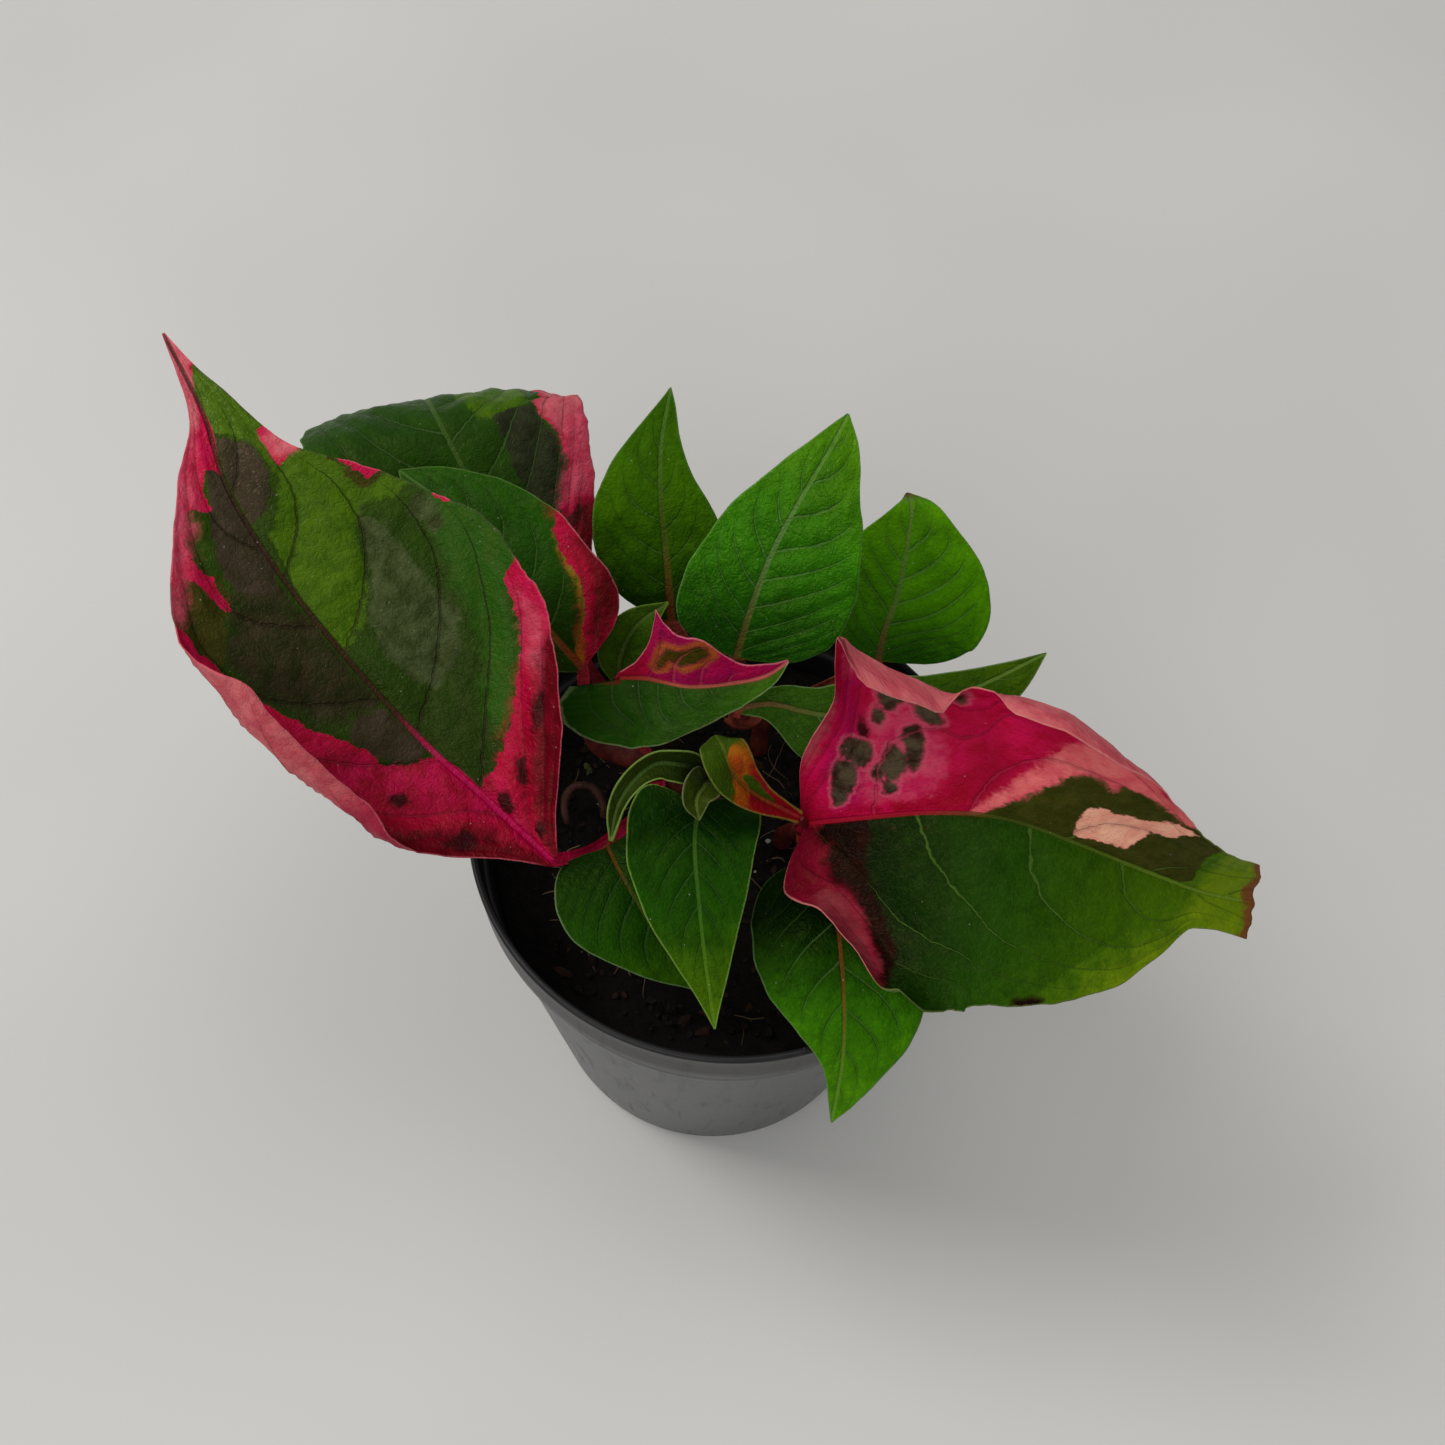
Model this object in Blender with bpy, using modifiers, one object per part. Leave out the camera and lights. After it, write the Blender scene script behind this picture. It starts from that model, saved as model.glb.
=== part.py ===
"""Potted alternanthera: a small variegated foliage plant in a round thin-wall nursery pot.

Metres, +Z up. The origin is the centre of the pot's underside, so the pot stands on z = 0,
and +X runs to the plant's right, +Y to its back, seen from the front.
The tables below are in millimetres.
"""
import math

import bmesh
import bpy
import numpy as np
from mathutils import Vector

MM = 0.001

# ---------------------------------------------------------------- the plant, in millimetres
#
# A leaf is a blade lofted along its midrib, with its petiole in the same loft.
#   rib       points of the midrib from blade base to tip
#   face      (u, upward direction) stations along the midrib; u runs 0 at the base to 1 at the tip
#   left      (u, half width) left of the midrib, looking from base to tip with the face up
#   right     the same for the right half
#   fold      (u, left angle, right angle) at which the two halves leave the midrib, degrees up
#   curl      (u, left, right) further turn of the section reached at the margin, degrees up
#   power     how late across the half the curl sets in, left and right
#   lobe      how far the blade reaches back behind its base, left and right, strongest at u = lobe_at
#   petiole   points from the stem to the blade base
#   across    stations of the loft across the blade, steps the stations along it
LEAVES = {
    "leaf_left_large": dict(
        rib=[(-20, -12.5, 66), (-28.5, -7.5, 71), (-35.5, -3.5, 75), (-44.5, 2.5, 82), (-52, 8.5, 88), (-58.5, 15.5, 94), (-62.5, 23.5, 97), (-68.5, 32.5, 99)],
        face=[(0, (0.15, -0.35, 0.9)), (1, (0.25, -0.35, 0.85))],
        left=[(0, 0.9), (0.03, 2.5), (0.06, 4.2), (0.1, 6.8), (0.15, 10.3), (0.2, 15), (0.25, 17.2), (0.35, 19.4), (0.45, 20.6), (0.55, 17.8), (0.65, 11.3), (0.75, 5.3), (0.85, 1.6), (0.92, 0.8), (1, 0.15)],
        right=[(0, 0.9), (0.03, 3.2), (0.06, 5.8), (0.1, 10), (0.15, 14.5), (0.2, 18), (0.25, 20), (0.35, 22.3), (0.45, 22.3), (0.55, 19.5), (0.65, 15), (0.75, 9.2), (0.85, 4), (0.92, 1.7), (1, 0.15)],
        fold=[(0, 25, 30), (0.1, 15, 25), (0.3, 5, 12), (0.6, 5, 8), (1, 10, 10)],
        curl=[(0, 15, 20), (0.12, 30, 45), (0.2, 110, 40), (0.28, 165, 40), (0.48, 170, 25), (0.56, 100, 15), (0.64, 40, 10), (0.8, 20, 0), (1, 0, 0)],
        power=(3, 2.5), petiole=[(-9.3, 3.8, 55.4), (-11.5, -1.5, 57.5), (-16, -9, 62.3)], across=[-1, -0.94, -0.86, -0.75, -0.55, -0.25, 0, 0.3, 0.6, 0.82, 1], steps=20),
    "leaf_right_large": dict(
        rib=[(8.3, -7.5, 71.5), (14.2, -8, 75), (22, -8.5, 79), (30, -9.5, 81), (38, -11.5, 80.5), (46.5, -13, 78), (53, -13.5, 75.5), (59.5, -13, 73)],
        face=[(0, (0, -0.2, 1)), (1, (0.1, -0.3, 1))],
        left=[(0, 0.9), (0.03, 8), (0.06, 11), (0.1, 14.4), (0.14, 18), (0.17, 23), (0.2, 27.2), (0.22, 27.2), (0.25, 24.7), (0.3, 21.4), (0.34, 17), (0.36, 17), (0.4, 21.3), (0.45, 22), (0.5, 20.3), (0.57, 17.5), (0.65, 13.2), (0.75, 8.8), (0.85, 6.2), (0.92, 4.8), (1, 4.2)],
        right=[(0, 0.9), (0.012, 4), (0.03, 7), (0.06, 8.7), (0.1, 10.5), (0.15, 15.9), (0.2, 21.5), (0.25, 22.2), (0.35, 21.8), (0.45, 21.2), (0.55, 19.6), (0.65, 17.2), (0.75, 13.5), (0.82, 8.5), (0.87, 4.2), (0.92, 3.8), (1, 4.2)],
        fold=[(0, 48, -10), (0.1, 48, -10), (0.2, 42, -12), (0.35, 42, -12), (0.45, 52, -12), (0.6, 58, -12), (0.85, 45, -12), (1, 10, -10)],
        curl=[(0, 10, 0), (0.08, 30, 60), (0.13, 50, 120), (0.19, 75, 120), (0.23, 150, 120), (0.3, 155, 20), (0.34, 50, 0), (0.36, 50, 0), (0.4, 130, 0), (0.46, 120, 0), (0.52, 105, 0), (0.58, 80, 0), (0.7, 60, 0), (0.85, 40, 0), (1, 0, 0)],
        power=(4, 6), lobe=(-3, 4.8), lobe_at=(0.2, 0.05), petiole=[(9.2, -3.4, 63.6), (9.2, -6.5, 69)], across=[-1, -0.95, -0.88, -0.75, -0.45, 0, 0.4, 0.72, 0.88, 0.95, 1], steps=20),
    "leaf_back_left": dict(
        rib=[(-20, 17.5, 62), (-25.2, 21.5, 66.5), (-31.5, 28.3, 71), (-37, 35.3, 76), (-40.5, 40.5, 77.8), (-43, 45.8, 75), (-45, 50, 68.5), (-46, 52.5, 61), (-46, 53.5, 53)],
        face=[(0, (0.2, -0.6, 0.8)), (0.4, (0.1, -0.4, 1)), (0.55, (-0.2, 0.3, 1)), (0.75, (-0.4, 0.9, 0.5)), (1, (-0.4, 1, 0.1))],
        left=[(0, 0.9), (0.07, 3), (0.14, 6), (0.24, 11), (0.31, 13.5), (0.38, 15.5), (0.45, 16.5), (0.52, 17), (0.6, 16.5), (0.7, 14.5), (0.8, 11), (0.9, 6), (1, 0.2)],
        right=[(0, 0.9), (0.07, 4.5), (0.12, 7.5), (0.17, 9.5), (0.24, 13), (0.31, 15.3), (0.38, 17), (0.45, 18.4), (0.52, 19.2), (0.6, 18.2), (0.7, 15.5), (0.8, 11), (0.9, 5.5), (1, 0.2)],
        fold=[(0, 3, -3), (0.4, 8, -5), (1, 0, -5)],
        curl=[(0, -5, -10), (0.35, -12, -25), (1, -20, -30)],
        petiole=[(-11.3, 7.8, 57.2), (-15, 12.5, 58.6)], across=[-1, -0.8, -0.6, -0.4, -0.2, 0, 0.2, 0.4, 0.6, 0.8, 1], steps=18),
    "leaf_mid_left": dict(
        rib=[(-19.2, 11.4, 70), (-24, 14.4, 74), (-30.2, 21.1, 77), (-38.3, 27.9, 78.5), (-44, 32.2, 78)],
        face=[(0, (0, -0.4, 1)), (1, (0, -0.3, 1))],
        left=[(0, 0.8), (0.05, 2.5), (0.15, 5), (0.3, 7.5), (0.5, 8.5), (0.7, 6.5), (0.85, 3.5), (1, 0.15)],
        right=[(0, 0.8), (0.03, 6), (0.08, 8.6), (0.15, 9.8), (0.25, 10), (0.35, 9.6), (0.5, 9), (0.65, 7.5), (0.8, 5), (0.92, 2.4), (1, 0.15)],
        fold=[(0, 0, 0), (1, 0, 0)],
        curl=[(0, 0, 0), (1, 0, 0)],
        petiole=[(-18.6, 7.9, 67.3)], across=[-1, -0.7, -0.35, 0, 0.35, 0.7, 1], steps=14),
    "leaf_back_centre": dict(
        rib=[(-9.5, 23, 64), (-10, 25, 67), (-11, 29, 72), (-12, 32.5, 77), (-12.5, 37.5, 81), (-12, 44, 84)],
        face=[(0, (0, -0.8, 0.6)), (1, (0, -0.4, 0.9))],
        left=[(0, 0.8), (0.03, 2), (0.08, 4.5), (0.15, 6.5), (0.25, 8), (0.35, 8.8), (0.5, 8.4), (0.65, 6.6), (0.8, 3.4), (0.92, 1.3), (1, 0.1)],
        right=[(0, 0.8), (0.03, 2), (0.08, 4.5), (0.15, 6), (0.25, 7), (0.35, 7.2), (0.5, 6), (0.65, 3.8), (0.8, 2.2), (0.92, 1.1), (1, 0.1)],
        fold=[(0, 0, 0), (1, 0, 0)],
        curl=[(0, 0, 0), (1, 0, 0)],
        petiole=[(0.2, 17.4, 57.4), (-5, 19.5, 60)], across=[-1, -0.7, -0.35, 0, 0.35, 0.7, 1], steps=13),
    "leaf_back_tall": dict(
        rib=[(-1, 16, 68), (0, 19.5, 72), (2.3, 25, 79), (5.5, 30, 85), (7.5, 33, 88), (9.5, 37.5, 90)],
        face=[(0, (0, -0.8, 0.6)), (1, (0, -0.5, 0.8))],
        left=[(0, 0.8), (0.03, 5), (0.08, 8), (0.15, 9), (0.25, 9), (0.35, 8.4), (0.5, 7.2), (0.65, 5.2), (0.8, 3.2), (0.92, 1.5), (1, 0.15)],
        right=[(0, 0.8), (0.03, 6), (0.08, 9), (0.15, 10.8), (0.25, 11.6), (0.35, 11.6), (0.5, 10.6), (0.65, 8.4), (0.8, 5.2), (0.92, 2.6), (1, 0.15)],
        fold=[(0, 0, 0), (1, 0, 0)],
        curl=[(0, 0, 0), (1, 0, 0)],
        petiole=[(1.6, 16, 61.3), (0.2, 15.8, 65)], across=[-1, -0.7, -0.35, 0, 0.35, 0.7, 1], steps=14),
    "leaf_back_right": dict(
        rib=[(17, 22, 61), (17.5, 25, 64), (18.5, 28, 67), (19, 32.5, 72), (19, 36, 75), (18.5, 39, 74)],
        face=[(0, (0, -0.7, 0.7)), (1, (0, -0.1, 1))],
        left=[(0, 0.8), (0.03, 4), (0.08, 6), (0.15, 7.5), (0.25, 8), (0.35, 8), (0.5, 7.6), (0.65, 6.5), (0.8, 3.6), (0.92, 1.2), (1, 0.15)],
        right=[(0, 0.8), (0.03, 6), (0.08, 9), (0.15, 10.6), (0.25, 11.4), (0.35, 12), (0.5, 11), (0.65, 8.6), (0.8, 5), (0.92, 2), (1, 0.15)],
        fold=[(0, 0, 0), (1, 0, 0)],
        curl=[(0, 0, 0), (1, 0, 0)],
        petiole=[(4.4, 16.4, 56.2), (10, 19, 57.5)], across=[-1, -0.7, -0.35, 0, 0.35, 0.7, 1], steps=13),
    "leaf_right_under": dict(
        rib=[(0, 12.5, 62), (3.5, 13, 63), (10, 11, 65), (19, 11, 67), (27.5, 14, 69), (36.5, 19, 71)],
        face=[(0, (0, -0.3, 1)), (1, (0, -0.3, 1))],
        left=[(0, 0.8), (0.08, 1.9), (0.15, 2.8), (0.25, 3.4), (0.35, 4.2), (0.5, 4.6), (0.65, 3.4), (0.8, 2), (0.92, 0.8), (1, 0.1)],
        right=[(0, 0.8), (0.08, 2), (0.15, 3.2), (0.25, 6), (0.35, 8.5), (0.5, 8.5), (0.65, 7), (0.8, 4.4), (0.92, 2.2), (1, 0.1)],
        fold=[(0, 0, 0), (1, 0, 0)],
        curl=[(0, 0, 0), (1, 0, 0)],
        petiole=[(1.6, 13.4, 57.6), (-0.6, 12, 59.8)], across=[-1, -0.7, -0.35, 0, 0.35, 0.7, 1], steps=13),
    "leaf_centre_fold": dict(
        rib=[(-14.3, 7.8, 74.6), (-11.1, 7.5, 75.4), (-6, 5.9, 77.2), (-0.5, 6, 79), (2.5, 6.6, 80), (5, 8.5, 80.5)],
        face=[(0, (0, -0.2, 1)), (1, (0, -0.2, 1))],
        left=[(0, 0.8), (0.06, 1.8), (0.1, 2.5), (0.15, 3.6), (0.2, 5), (0.25, 7), (0.3, 9.7), (0.33, 11.2), (0.36, 9.4), (0.4, 8.5), (0.45, 8), (0.53, 7.6), (0.6, 6.4), (0.66, 4.3), (0.75, 2.3), (0.85, 1.6), (0.92, 0.8), (1, 0.1)],
        right=[(0, 0.8), (0.015, 1.2), (0.03, 3), (0.06, 6.4), (0.1, 8), (0.15, 8.3), (0.25, 8.1), (0.35, 7.1), (0.45, 5.2), (0.55, 4), (0.65, 3.3), (0.8, 2), (0.92, 0.9), (1, 0.1)],
        fold=[(0, 70, -15), (0.5, 65, -15), (1, 40, -10)],
        curl=[(0, 0, 0), (1, 0, 0)],
        lobe=(0, 8.3), lobe_at=(0.1, 0.035), petiole=[(-16.2, 6.6, 67.8), (-15, 7.4, 71.5)], across=[-1, -0.7, -0.35, 0, 0.35, 0.7, 1], steps=13),
    "leaf_tiny_back": dict(
        rib=[(-15, 12, 66), (-15, 15, 68), (-13.3, 17.6, 71), (-9.8, 19.2, 74)],
        face=[(0, (0, -0.5, 0.8)), (1, (0, -0.5, 0.8))],
        left=[(0, 0.6), (0.15, 2.2), (0.3, 3), (0.5, 2.8), (0.75, 1.6), (1, 0.1)],
        right=[(0, 0.6), (0.15, 2.4), (0.3, 3.2), (0.5, 3), (0.75, 1.8), (1, 0.1)],
        fold=[(0, 15, 15), (1, 10, 10)],
        curl=[(0, 0, 0), (1, 0, 0)],
        petiole=[(-15.4, 7.1, 62.6), (-15.2, 9.5, 64)], across=[-1, -0.5, 0, 0.5, 1], steps=9),
    "leaf_front_heart": dict(
        rib=[(-3.8, -7.5, 74), (-3.8, -12.5, 74), (-2.4, -20, 71), (-1.2, -25, 68), (0.4, -30, 63)],
        face=[(0, (0, -0.2, 1)), (1, (0, -0.8, 0.8))],
        left=[(0, 0.8), (0.03, 5), (0.08, 7), (0.15, 7.3), (0.25, 6.8), (0.35, 6.1), (0.5, 4.8), (0.65, 3.4), (0.8, 2), (0.92, 0.8), (1, 0.1)],
        right=[(0, 0.8), (0.03, 5), (0.08, 7), (0.15, 7.7), (0.25, 7.6), (0.35, 7), (0.5, 5.8), (0.65, 3.9), (0.8, 2), (0.92, 0.8), (1, 0.1)],
        fold=[(0, 0, 0), (1, 0, 0)],
        curl=[(0, 0, 0), (1, 0, 0)],
        lobe=(2.7, 3), lobe_at=(0.05, 0.05), petiole=[(-3.8, -4.9, 72)], across=[-1, -0.7, -0.35, 0, 0.35, 0.7, 1], steps=14),
    "leaf_front_left": dict(
        rib=[(-14, -9.5, 65), (-12, -13, 65.3), (-9.5, -16.5, 64.5), (-6, -20.5, 62), (-2, -23.5, 58)],
        face=[(0, (0, -0.2, 1)), (1, (0.2, -0.4, 1))],
        left=[(0, 0.8), (0.03, 4), (0.08, 6), (0.15, 7), (0.25, 7.4), (0.35, 7.3), (0.5, 6.6), (0.65, 5), (0.8, 3), (0.92, 1.2), (1, 0.1)],
        right=[(0, 0.8), (0.03, 5), (0.06, 6), (0.1, 7), (0.15, 7.8), (0.25, 8.7), (0.35, 8.7), (0.45, 8.1), (0.55, 6.8), (0.65, 5.2), (0.8, 3), (0.92, 1.2), (1, 0.1)],
        fold=[(0, 0, 0), (1, 0, 0)],
        curl=[(0, 0, 0), (1, 0, 0)],
        lobe=(1, 1), lobe_at=(0.05, 0.05), petiole=[(-3.2, -0.9, 57.4), (-8, -4.5, 60.2), (-12, -8, 63)], across=[-1, -0.7, -0.35, 0, 0.35, 0.7, 1], steps=13),
    "leaf_front_right": dict(
        rib=[(9.5, -8.5, 65), (12.5, -14, 66), (14, -21, 65), (15, -27, 61.5), (15.3, -30.5, 58), (15, -35.5, 51)],
        face=[(0, (0, -0.2, 1)), (1, (0, -0.9, 0.5))],
        left=[(0, 0.8), (0.03, 4), (0.08, 7), (0.15, 8.4), (0.25, 9.2), (0.35, 9.6), (0.5, 9.6), (0.65, 8), (0.8, 4.6), (0.92, 2.2), (1, 0.1)],
        right=[(0, 0.8), (0.03, 5), (0.08, 8), (0.15, 9.4), (0.25, 9.9), (0.35, 9.9), (0.5, 8.6), (0.65, 5.2), (0.8, 1.9), (0.92, 0.8), (1, 0.1)],
        fold=[(0, 0, 0), (1, 0, 0)],
        curl=[(0, 0, 0), (1, 0, 0)],
        lobe=(1, 1), lobe_at=(0.05, 0.05), petiole=[(9.3, -4.6, 60.6)], across=[-1, -0.7, -0.35, 0, 0.35, 0.7, 1], steps=15),
    "leaf_curled": dict(
        rib=[(-4.4, -4.5, 75.2), (-4.9, -5.2, 78), (-6.2, -5.9, 79.8), (-8.7, -6.4, 80.5), (-11, -8.4, 80), (-12.6, -10.8, 78), (-13.1, -13.7, 75)],
        face=[(0, (0.2, -0.6, 0.7)), (0.4, (0.1, -0.5, 0.8)), (1, (0, -0.4, 0.9))],
        left=[(0, 0.6), (0.1, 1.8), (0.25, 2.6), (0.4, 2.4), (0.6, 1.4), (0.8, 1), (1, 0.1)],
        right=[(0, 0.6), (0.1, 1.6), (0.25, 2), (0.4, 1.6), (0.6, 1.5), (0.8, 1.1), (1, 0.1)],
        fold=[(0, 20, 20), (1, 30, 30)],
        curl=[(0, 0, 0), (0.3, 60, 20), (0.7, 60, 20), (1, 20, 0)],
        across=[-1, -0.75, -0.4, 0, 0.5, 1], steps=13),
    "leaf_orange": dict(
        rib=[(7.8, -8.6, 75), (5.7, -8.3, 76.2), (2.7, -7.9, 78), (0.2, -7.2, 80.3), (-1, -6.2, 82.3), (-1.8, -4.7, 83), (-2.6, -2.6, 81.5)],
        face=[(0, (0, -0.5, 0.9)), (0.6, (0, -0.3, 1)), (1, (-0.1, 0.3, 0.8))],
        left=[(0, 0.6), (0.15, 1.3), (0.3, 2), (0.5, 2.6), (0.7, 2.8), (0.85, 2.5), (0.95, 1.4), (1, 0.4)],
        right=[(0, 0.6), (0.15, 1.1), (0.3, 1.6), (0.5, 2.4), (0.7, 2.8), (0.85, 2.5), (0.95, 1.4), (1, 0.4)],
        fold=[(0, 35, 35), (0.5, 25, 25), (1, -15, -15)],
        curl=[(0, 20, 20), (1, -10, -10)],
        across=[-1, -0.5, 0, 0.5, 1], steps=13),
    "leaf_apex_left": dict(
        rib=[(-2.6, -5.6, 76.8), (-3.2, -7.6, 79), (-4, -9.9, 79.4), (-3.5, -11.6, 77.9)],
        face=[(0, (0, -0.3, 0.9)), (1, (0, -0.5, 0.8))],
        left=[(0, 0.5), (0.25, 2), (0.5, 2.2), (0.75, 1.5), (1, 0.1)],
        right=[(0, 0.5), (0.25, 2), (0.5, 2.3), (0.75, 1.5), (1, 0.1)],
        fold=[(0, 25, 25), (1, 20, 20)],
        curl=[(0, 0, 0), (1, 0, 0)],
        across=[-1, -0.5, 0, 0.5, 1], steps=9),
    "leaf_apex_right": dict(
        rib=[(0.2, -4.6, 76.8), (0.5, -5.6, 78), (1.1, -6.5, 77.8)],
        face=[(0, (0.2, -0.3, 0.9)), (1, (0.4, -0.3, 0.8))],
        left=[(0, 0.5), (0.3, 1.6), (0.6, 1.3), (1, 0.2)],
        right=[(0, 0.5), (0.3, 1.6), (0.6, 1.3), (1, 0.2)],
        fold=[(0, 20, 20), (1, 10, 10)],
        curl=[(0, 0, 0), (1, 0, 0)],
        across=[-1, -0.5, 0, 0.5, 1], steps=6),
}
STEMS = {
    "stem_left": dict(path=[(-5, 5.4, 49.7), (-5.2, 5.4, 51.2), (-9.1, 5.9, 54.8), (-12.2, 5.5, 59), (-16.5, 5, 62.5), (-18, 5.8, 65.8)], radius=1.15),
    "stem_centre": dict(path=[(0.5, 3, 49.7), (0.4, 2.8, 51.5), (-1, 0, 58), (-3, -2.6, 66), (-3.6, -3.8, 71)], radius=1.2),
    "stem_back": dict(path=[(3, 14, 49.7), (3, 14.1, 51.5), (3, 15.2, 55), (2.4, 16, 60)], radius=1.15),
    "stem_right": dict(path=[(7, 1, 49.7), (7, 0.9, 51.5), (8.4, -1, 57), (9, -3, 62.4)], radius=1.15),
    "root_loop": dict(path=[(-20.3, 0.9, 49.7), (-20.5, 1.1, 50.4), (-20.8, 3, 51.6), (-19.7, 4.3, 53), (-17.5, 4.3, 53), (-16.2, 3.3, 51.6), (-15.8, 2.4, 50.4), (-15.8, 2.3, 49.7)], radius=0.5),
}

PLANT_MATERIAL = {
    "leaf_left_large": "leaf_variegated", "leaf_right_large": "leaf_variegated",
    "leaf_back_left": "leaf_variegated", "leaf_mid_left": "leaf_variegated",
    "leaf_centre_fold": "leaf_variegated",
    "leaf_curled": "leaf_young", "leaf_orange": "leaf_young",
    "leaf_apex_left": "leaf_young", "leaf_apex_right": "leaf_young",
    "leaf_tiny_back": "leaf_young",
}

BLADE = 0.4        # blade thickness
MIDRIB = 0.9       # thickness over the midrib
PETIOLE = 0.75     # petiole radius

# ---------------------------------------------------------------- the pot, in millimetres
RIM_RADIUS = 32.0
RIM_HEIGHT = 57.9
BASE_RADIUS = 22.4
BAND_HEIGHT = 7.0  # the stepped-out band under the rim
WALL = 0.8
FLOOR = 1.2
SOIL_TOP = 49.3
GAP = 0.35         # between soil and pot
DRAIN_HOLES = 6


# ---------------------------------------------------------------- curves and tables
def table(rows, u):
    """Monotone cubic (PCHIP) interpolation of rows [(u, a, b, ...)] at the array u."""
    rows = np.array(rows, float)
    x, y = rows[:, 0], rows[:, 1:]
    h = np.diff(x)[:, None]
    d = np.diff(y, axis=0) / h
    m = np.zeros_like(y)
    m[0], m[-1] = d[0], d[-1]
    for i in range(1, len(x) - 1):
        w1, w2 = 2 * h[i] + h[i - 1], h[i] + 2 * h[i - 1]
        with np.errstate(divide="ignore", invalid="ignore"):
            mean = (w1 + w2) / (w1 / d[i - 1] + w2 / d[i])
        m[i] = np.where(d[i - 1] * d[i] > 0, mean, 0.0)
    u = np.clip(np.asarray(u, float), x[0], x[-1])
    k = np.clip(np.searchsorted(x, u, side="right") - 1, 0, len(x) - 2)
    t = ((u - x[k]) / (x[k + 1] - x[k]))[:, None]
    return ((2 * t**3 - 3 * t**2 + 1) * y[k] + (t**3 - 2 * t**2 + t) * h[k] * m[k]
            + (-2 * t**3 + 3 * t**2) * y[k + 1] + (t**3 - t**2) * h[k] * m[k + 1])


def spline(points, n=40):
    """Centripetal Catmull-Rom curve through the points, densely sampled."""
    p = np.array(points, float)
    if len(p) == 2:
        p = np.array([p[0], (2 * p[0] + p[1]) / 3, (p[0] + 2 * p[1]) / 3, p[1]])
    q = np.vstack([2 * p[0] - p[1], p, 2 * p[-1] - p[-2]])
    out = []
    for i in range(1, len(q) - 2):
        t0 = 0.0
        t1 = t0 + np.linalg.norm(q[i] - q[i - 1]) ** 0.5
        t2 = t1 + np.linalg.norm(q[i + 1] - q[i]) ** 0.5
        t3 = t2 + np.linalg.norm(q[i + 2] - q[i + 1]) ** 0.5
        t = np.linspace(t1, t2, n, endpoint=False)[:, None]
        a1 = (t1 - t) / (t1 - t0) * q[i - 1] + (t - t0) / (t1 - t0) * q[i]
        a2 = (t2 - t) / (t2 - t1) * q[i] + (t - t1) / (t2 - t1) * q[i + 1]
        a3 = (t3 - t) / (t3 - t2) * q[i + 1] + (t - t2) / (t3 - t2) * q[i + 2]
        b1 = (t2 - t) / (t2 - t0) * a1 + (t - t0) / (t2 - t0) * a2
        b2 = (t3 - t) / (t3 - t1) * a2 + (t - t1) / (t3 - t1) * a3
        out.append((t2 - t) / (t2 - t1) * b1 + (t - t1) / (t2 - t1) * b2)
    out.append(p[-1:])
    return np.vstack(out)


def along(path, s):
    """Points and unit tangents at the shares s of a dense path's length."""
    c = np.concatenate([[0], np.cumsum(np.linalg.norm(np.diff(path, axis=0), axis=1))])

    def at(share):
        return np.stack([np.interp(share * c[-1], c, path[:, k]) for k in range(3)], 1)

    t = at(np.clip(s + 0.012, 0, 1)) - at(np.clip(s - 0.012, 0, 1))
    return at(s), unit(t)


def unit(v):
    return v / np.maximum(np.linalg.norm(v, axis=-1, keepdims=True), 1e-12)


# ---------------------------------------------------------------- leaves
def blade_surface(leaf, us, ss, fine=28):
    """Upper surface of a blade at the shares us along and ss across (-1 left margin, +1 right)."""
    P, T = along(spline(leaf["rib"]), us)
    face = table([(u, *n) for u, n in leaf["face"]], us)
    N = unit(face - (face * T).sum(1)[:, None] * T)
    S = np.cross(T, N)
    folds = np.radians(table(leaf["fold"], us))
    curls = np.radians(table(leaf["curl"], us))
    points = np.zeros((len(us), len(ss), 3))
    normals = np.zeros_like(points)
    widths = np.zeros((len(us), len(ss)))
    k = (np.arange(fine) + 0.5) / fine
    knots = np.arange(fine + 1) / fine
    for half, side, columns in ((0, -1, ss < 0), (1, 1, ss >= 0)):
        w = table(leaf["left" if side < 0 else "right"], us)[:, 0]
        fold, curl = folds[:, half], curls[:, half]
        power = leaf.get("power", (2, 2))[half]
        reach, at = leaf.get("lobe", (0, 0))[half], leaf.get("lobe_at", (0.07, 0.07))[half]
        back = reach * (us / at) * np.exp(1 - us / at)
        turn = fold[:, None] + curl[:, None] * k[None, :] ** power
        out = np.hstack([np.zeros((len(us), 1)), np.cumsum(np.cos(turn), 1)]) / fine * w[:, None]
        up = np.hstack([np.zeros((len(us), 1)), np.cumsum(np.sin(turn), 1)]) / fine * w[:, None]
        for j in np.where(columns)[0]:
            s = abs(ss[j])
            x = np.array([np.interp(s, knots, row) for row in out])
            z = np.array([np.interp(s, knots, row) for row in up])
            a = fold + curl * s**power
            points[:, j] = P + S * (side * x)[:, None] + N * z[:, None] - T * (back * s**1.3)[:, None]
            normals[:, j] = -np.sin(a)[:, None] * S * side + np.cos(a)[:, None] * N
            widths[:, j] = w
    return points, normals, widths


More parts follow.
